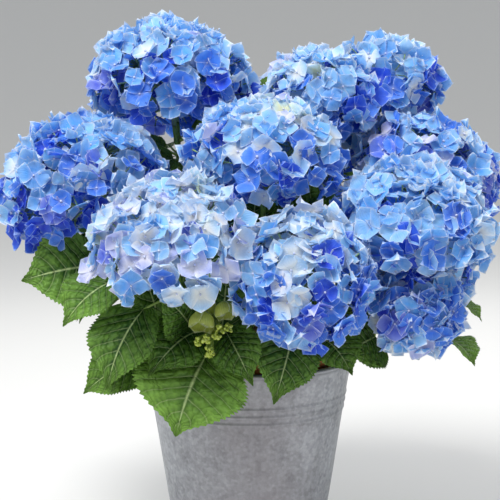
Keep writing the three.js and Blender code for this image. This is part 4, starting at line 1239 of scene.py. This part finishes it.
class HYDRANGEA_OT_potting_mix(bpy.types.Operator):
    """Dark crumbly potting mix with bark chips on its surface"""

    bl_idname = "hydrangea.potting_mix"
    bl_label = "Potting mix"

    def execute(self, context):
        chance = np.random.default_rng(MIX_SEED)
        radii = np.append(np.linspace(0, MIX_RADIUS - 0.9, 40), MIX_RADIUS)[::-1]
        top = np.stack([radii, np.full(len(radii), SOIL_TOP)], axis=-1)
        side = [[0, MIX_FOOT], [MIX_FOOT_RADIUS, MIX_FOOT], [MIX_RADIUS, SOIL_TOP - 3]]
        points = turned_surface(np.concatenate([side, top]), 120)
        x, y = points[..., 0], points[..., 1]
        bumps = sum(np.sin(x / size + by) * np.sin(y / size - by) * size * 0.1 for size, by in MIX_LUMPS)
        on_top = points[..., 2] > SOIL_TOP - 1
        inside = np.clip((MIX_RADIUS - np.hypot(x, y)) / 6, 0, 1)
        points[..., 2] += np.where(on_top, (bumps * 0.6 - 0.8) * inside, 0)

        angle, out = chance.uniform(0, 2 * math.pi, CRUMBS), 93 * np.sqrt(chance.uniform(0, 1, CRUMBS))
        level = chance.uniform(SOIL_TOP - 1.5, SOIL_TOP + 1.2, CRUMBS)
        centres = np.stack([out * np.cos(angle), out * np.sin(angle), level], axis=-1)
        facing = unit(chance.normal(0, 1, (CRUMBS, 3)))
        crumbs = beads(centres, chance.uniform(1.2, 4.2, CRUMBS), 4, 6, 0.5, facing)
        crumbs += chance.uniform(-0.35, 0.35, (CRUMBS, 1, 1, 3))
        peat = flecked_material("damp_peat_mix", "#33241a", "#171009", 3.0, 0.95)
        bark = flecked_material("bark_chips", "#5d4330", "#2b1d13", 2.0, 0.9)
        soil = Sheets().add(points)
        soil.add(crumbs, slot=np.where(chance.uniform(0, 1, CRUMBS) > 0.6, 1, 0))
        soil.piece("crumbly_mix", [peat, bark], "potting_mix", ["potting_mix"])
        return {"FINISHED"}


class HYDRANGEA_OT_stems(bpy.types.Operator):
    """Woody canes with bark ridges, green shoots with swollen joints, and leaf stalks"""

    bl_idname = "hydrangea.stems"
    bl_label = "Stems"

    def execute(self, context):
        steps = np.linspace(0, 1, 22)
        paths = np.array([curve_points(cane_corners(place), steps) for place in CANES])
        taper = CANE_FOOT_RADIUS + (CANE_TIP_RADIUS - CANE_FOOT_RADIUS) * steps
        joints = 0.9 * bell(steps, 0.45, 0.05) + 0.8 * bell(steps, 0.85, 0.05)
        along = steps[:, None]

        def ridges(angle):
            """Seven strong and eleven weak ridges that wind to and fro up the cane."""
            strong = 0.32 * np.sin(angle * 7 + 2.2 * np.sin(along * 19))
            return (strong + 0.18 * np.sin(angle * 11 - along * 30))[None]

        bark = flecked_material("flaking_cane_bark", "#7b6a49", "#473a26", 2.2, 0.85, 4.0)
        canes = Sheets().add(tubes(paths, taper + joints - 0.3, 20, relief=ridges))
        canes.piece("barked_canes", [bark], "cane", [f"cane_{place}" for place in CANES])

        heads = grown_heads()
        leaves = grown_leaves(context.scene.hydrangea.foliage.inner_size)
        green = flecked_material("green_shoot_skin", "#6f9440", "#3f4f2a", 1.8, 0.5, 3.0)
        stalk = flecked_material("leaf_stalk_skin", "#93b055", "#6f8f3c", 2.4, 0.48, 2.0)
        steps = np.linspace(0, 1, 33)
        paths = np.array([curve_points(head["shoot"], steps) for head in heads])
        nodes = sum(0.8 * bell(steps, level, 0.018) for level in LEAF_LEVELS)
        taper = SHOOT_FOOT_RADIUS + (SHOOT_NECK_RADIUS - SHOOT_FOOT_RADIUS) * steps
        stems = Sheets().add(tubes(paths, taper + nodes, 10))
        every = [leaf for kinds in leaves.values() for kind in kinds.values() for leaf in kind]
        root, base, tip = (np.array([leaf[key] for leaf in every]) for key in ("root", "base", "tip"))
        widths = np.array([1.9, 1.7, 1.5, 1.4, 1.35, 1.3, 1.1])
        outward = np.linspace(0, 1, len(widths))[None, :, None]
        sagging = np.sin(math.pi * outward) * -1.6 * UP
        petioles = root[:, None] * (1 - outward) + base[:, None] * outward + sagging
        petioles[:, -1] += unit(tip - base) * 1.5
        stems.add(tubes(petioles, widths, 7), slot=1)
        stems.piece("shoots_and_stalks", [green, stalk], "leaf")
        return {"FINISHED"}


class HYDRANGEA_OT_leaves(bpy.types.Operator):
    """Serrated, quilted leaves in pairs up every shoot"""

    bl_idname = "hydrangea.leaves"
    bl_label = "Leaves"

    def execute(self, context):
        values = context.scene.hydrangea.foliage
        blade = leaf_material("quilted_leaf", tuple(values.dark), tuple(values.light), "#c8de98", values.glow)
        for number, (place, kinds) in enumerate(grown_leaves(values.inner_size).items()):
            chance = np.random.default_rng(PHASE_SEED + number)
            leaves = Sheets()
            for kind, rows, columns in (("main", values.blade_rows, 9), ("inner", 17, 5)):
                if kinds[kind]:
                    points = blade_surface(kinds[kind], rows, columns, chance.uniform(0, 1, len(kinds[kind])))
                    tones = np.array([leaf["tone"] for leaf in kinds[kind]])
                    leaves.add(points, tone=tones, pattern=pattern_grid(rows, columns)[..., ::-1])
            leaves.piece(f"leaves_{place}", [blade], "leaf", [f"leafy_shoot_{place}"])
        return {"FINISHED"}


class HYDRANGEA_OT_flower_heads(bpy.types.Operator):
    """Mophead flowers: domes of four-sepalled florets on branching stalks"""

    bl_idname = "hydrangea.flower_heads"
    bl_label = "Flower heads"

    def execute(self, context):
        values = context.scene.hydrangea.flowers
        materials = [
            sepal_material(
                f"sepal_{tint}", tuple(getattr(values, tint)), *codes, values.glow,
                PALE_FLUSH if tint in PALE_TINTS else FLUSH,
            )
            for tint, codes in TINTS.items()
        ]
        materials.append(flecked_material("floret_eye", "#cdd3ea", "#8d9cd8", 1.2, 0.5))
        materials.append(flecked_material("flower_stalk_skin", "#8fae74", "#6f86a8", 1.6, 0.5, 2.0))
        for number, head in enumerate(grown_heads()):
            if head["place"] != "young":
                self.grow(head, materials, values, np.random.default_rng(HEAD_SEED + number))
        return {"FINISHED"}

    def grow(self, head, materials, values, chance):
        """One head: an outer layer of florets on the dome and a sparser one under it. They follow a golden spiral
        from its top to its skirt, shaken a little, and a few lumps swell the dome by the sum of their sines."""
        pitch, smallest, largest = values.pitch / MM, values.smallest / MM, values.largest / MM
        lowest = SKIRTS.get(head["place"], values.skirt)
        area = 2 * math.pi * head["radius"] ** 2 * (1 - lowest) * 0.94
        top, skirt = (np.array(weights) for weights in COLOURINGS[head["colouring"]])
        lumps = unit(chance.normal(0, 1, (7, 3))) * chance.uniform(3, 5, (7, 1))
        sheets = Sheets()
        every_centre, every_facing = [], []
        for layer, (full, depth, scatter) in enumerate(FLORET_LAYERS):
            outer = layer == 0
            count = round(area / pitch**2 * full)
            order = (np.arange(count) + 0.5) / count
            rise = np.clip(1 - order * (1 - lowest) + chance.normal(0, 0.025, count), -1, 1)
            turn = np.arange(count) * GOLDEN_ANGLE + chance.normal(0, 0.1, count) + layer * 2.1
            directions = dome_directions(head, rise, turn)
            reach = head_reach(head, directions)
            kept = reach > dome_reach(head, directions) * 0.5
            directions, reach, rise = directions[kept], reach[kept], rise[kept]
            count = len(directions)

            swell = np.sin(directions @ lumps.T).sum(axis=1)
            deep = depth + INSETS.get(head["place"], 0) - swell + chance.uniform(-2.5, 4, count)
            centres = head["centre"] + directions * (reach - deep)[:, None]
            outward = unit(directions + 0.3 * head["axis"] * np.clip(rise, -1, 0.3)[:, None])
            facing = unit(outward + chance.normal(0, scatter, (count, 3)))
            spans = largest - (largest - smallest) * chance.uniform(0, 1, count) ** 1.6 * 1.25

            # Height up the head: higher florets get the paler colours as painted light from above, lower ones the
            # darker colours as painted shade
            height = np.clip((directions[:, 2] + 0.35) / 1.1 + chance.normal(0, 0.1, count), 0, 1)
            # The inner layer under the dome takes mostly the darker skirt colours: painted shade between the outer
            # florets
            height = height**2 * (3 - 2 * height) * (1 if outer else 0.4)
            weights = top * height[:, None] + skirt * (1 - height[:, None])
            shares = weights.cumsum(axis=1) / weights.sum(axis=1, keepdims=True)
            picks = (shares < chance.uniform(0, 1, count)[:, None]).sum(axis=1)

            lifts = chance.uniform(-0.22, 0.34, count) + 0.2 * np.clip(facing[:, 2] - 0.15, 0, 1)
            points, pattern = floret_surface(centres, facing, chance.uniform(0, math.pi, count), spans, lifts, chance)
            # A floret's tone is random, plus painted light that makes the higher florets lighter
            tones = np.repeat(chance.uniform(0, 1, count) * 0.5 + 0.25 * height, 4) + chance.uniform(0, 0.25, count * 4)
            sheets.add(points, slot=np.repeat(np.clip(picks, 0, len(TINTS) - 1), 4), tone=tones, pattern=pattern)
            every_centre.append(centres)
            every_facing.append(facing)
            if outer:
                eyes = beads(centres + facing * 0.9, chance.uniform(1.1, 1.7, count), 3, 6, 0.8, facing)
                sheets.add(eyes, slot=EYE_SLOT)
        self.add_stalks(head, sheets, np.concatenate(every_centre), np.concatenate(every_facing))
        slot_name = "pale_blossom" if head["place"] in ("low_left", "low_middle") else "blossom"
        sheets.piece(f"florets_{head['place']}", materials, slot_name, [f"flower_head_{head['place']}"])

    def add_stalks(self, head, sheets, centres, facing):
        """A short stem from the neck, rays that fan from it to half the dome's reach, and a stalk from the nearest
        ray's tip to the back of every floret."""
        axis = head["axis"]
        rise = 1 - (np.arange(RAYS) + 0.5) / RAYS * 1.35
        directions = dome_directions(head, rise, np.arange(RAYS) * GOLDEN_ANGLE)
        tips = head["centre"] + directions * (head_reach(head, directions) * 0.55)[:, None]
        fork = head["neck"] + axis * HEAD_NECK_LENGTH
        neck = np.linspace(head["neck"] + axis * CLEARANCE, fork + axis * 2, 5)[None]
        sheets.add(tubes(neck, SHOOT_NECK_RADIUS, 9), slot=STALK_SLOT)
        middle = fork + axis * head["rise"] * 0.22 + (tips - fork) * 0.3
        sheets.add(bent_stalks(fork[None], middle, tips, np.linspace(1.9, 1.2, 6), 5), slot=STALK_SLOT)
        start = tips[np.linalg.norm(centres[:, None] - tips[None], axis=-1).argmin(axis=1)]
        end = centres - facing * 0.4
        bend = end - facing * np.linalg.norm(end - start, axis=1)[:, None] * 0.45
        sheets.add(bent_stalks(start, bend, end, np.array([0.9, 0.8, 0.75, 1.1]), 3), slot=STALK_SLOT)


class HYDRANGEA_OT_young_head(bpy.types.Operator):
    """The half-open head of yellow-green buds, low in front"""

    bl_idname = "hydrangea.young_head"
    bl_label = "Young head"

    def execute(self, context):
        head = next(head for head in grown_heads() if head["place"] == "young")
        chance = np.random.default_rng(YOUNG_SEED)
        opening = sepal_material("young_sepal", linear("#b9c653"), "#cfd97c", "#eaf0c4", "#a3b8aa", 0.3, YOUNG_FLUSH)
        bud = flecked_material("flower_bud_skin", "#abbd42", "#e3ea9c", 1.6, 0.5)
        stalk = flecked_material("young_stalk_skin", "#93ad4c", "#bccd80", 2.0, 0.5)
        clusters = head["centre"] + np.repeat(BUD_CLUSTERS, BUDS_IN_CLUSTER, axis=0)
        count = len(clusters)
        away = unit(chance.normal(0, 1, (count, 3)))
        places = clusters + away * chance.uniform(1.5, 5.5, (count, 1))
        sheets = Sheets()
        buds = beads(places, chance.uniform(1.1, 2.3, count), 5, 8, 1.1, unit(away + [0, -0.3, -0.2]), 0.16)
        sheets.add(buds, slot=1)
        offsets, radii, pointed = (np.array(column, float) for column in zip(*CLOSED_FLORETS))
        centres, pointed = head["centre"] + offsets, unit(pointed)
        points, pattern = closed_floret_surface(centres, pointed, radii, 2.1)
        sheets.add(points, tone=chance.uniform(0.4, 1, len(points)), pattern=pattern)
        fork = (head["neck"] + head["axis"] * CLEARANCE)[None]
        ends = np.concatenate([places, centres - pointed * radii[:, None] * CLOSED_STRETCH])
        middle = (fork + ends) / 2 + head["axis"] * 4
        sheets.add(bent_stalks(fork, middle, ends, np.linspace(1.1, 0.6, 6), 5), slot=2)
        sheets.piece("young_buds", [opening, bud, stalk], "bud", ["flower_head_young"])
        return {"FINISHED"}


class HYDRANGEA_PT_panel(bpy.types.Panel):
    """Lists the pieces of the shrub and their settings"""

    bl_idname = "HYDRANGEA_PT_panel"
    bl_label = "Potted hydrangea"
    bl_space_type = "VIEW_3D"
    bl_region_type = "UI"
    bl_category = "Hydrangea"

    def draw(self, context):
        for operator in OPERATORS:
            self.layout.operator(operator.bl_idname)
        values = context.scene.hydrangea
        for piece in (values.bucket, values.foliage, values.flowers, values.stage):
            box = self.layout.box()
            for name in piece.__annotations__:
                box.prop(piece, name)


OPERATORS = (
    HYDRANGEA_OT_stage,
    HYDRANGEA_OT_bucket,
    HYDRANGEA_OT_nursery_pot,
    HYDRANGEA_OT_potting_mix,
    HYDRANGEA_OT_stems,
    HYDRANGEA_OT_leaves,
    HYDRANGEA_OT_flower_heads,
    HYDRANGEA_OT_young_head,
)
GROUPS = (
    HydrangeaBucketSettings,
    HydrangeaFoliageSettings,
    HydrangeaFlowerSettings,
    HydrangeaStageSettings,
    HydrangeaSettings,
)


def register():
    for made in (*GROUPS, *OPERATORS, HYDRANGEA_PT_panel):
        bpy.utils.register_class(made)
    bpy.types.Scene.hydrangea = bpy.props.PointerProperty(type=HydrangeaSettings)


def unregister():
    del bpy.types.Scene.hydrangea
    for made in reversed((*GROUPS, *OPERATORS, HYDRANGEA_PT_panel)):
        bpy.utils.unregister_class(made)


def main():
    register()
    bpy.ops.hydrangea.stage()
    bpy.ops.hydrangea.bucket()
    bpy.ops.hydrangea.nursery_pot()
    bpy.ops.hydrangea.potting_mix()
    bpy.ops.hydrangea.stems()
    bpy.ops.hydrangea.leaves()
    bpy.ops.hydrangea.flower_heads()
    bpy.ops.hydrangea.young_head()
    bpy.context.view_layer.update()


if __name__ == "__main__":
    main()
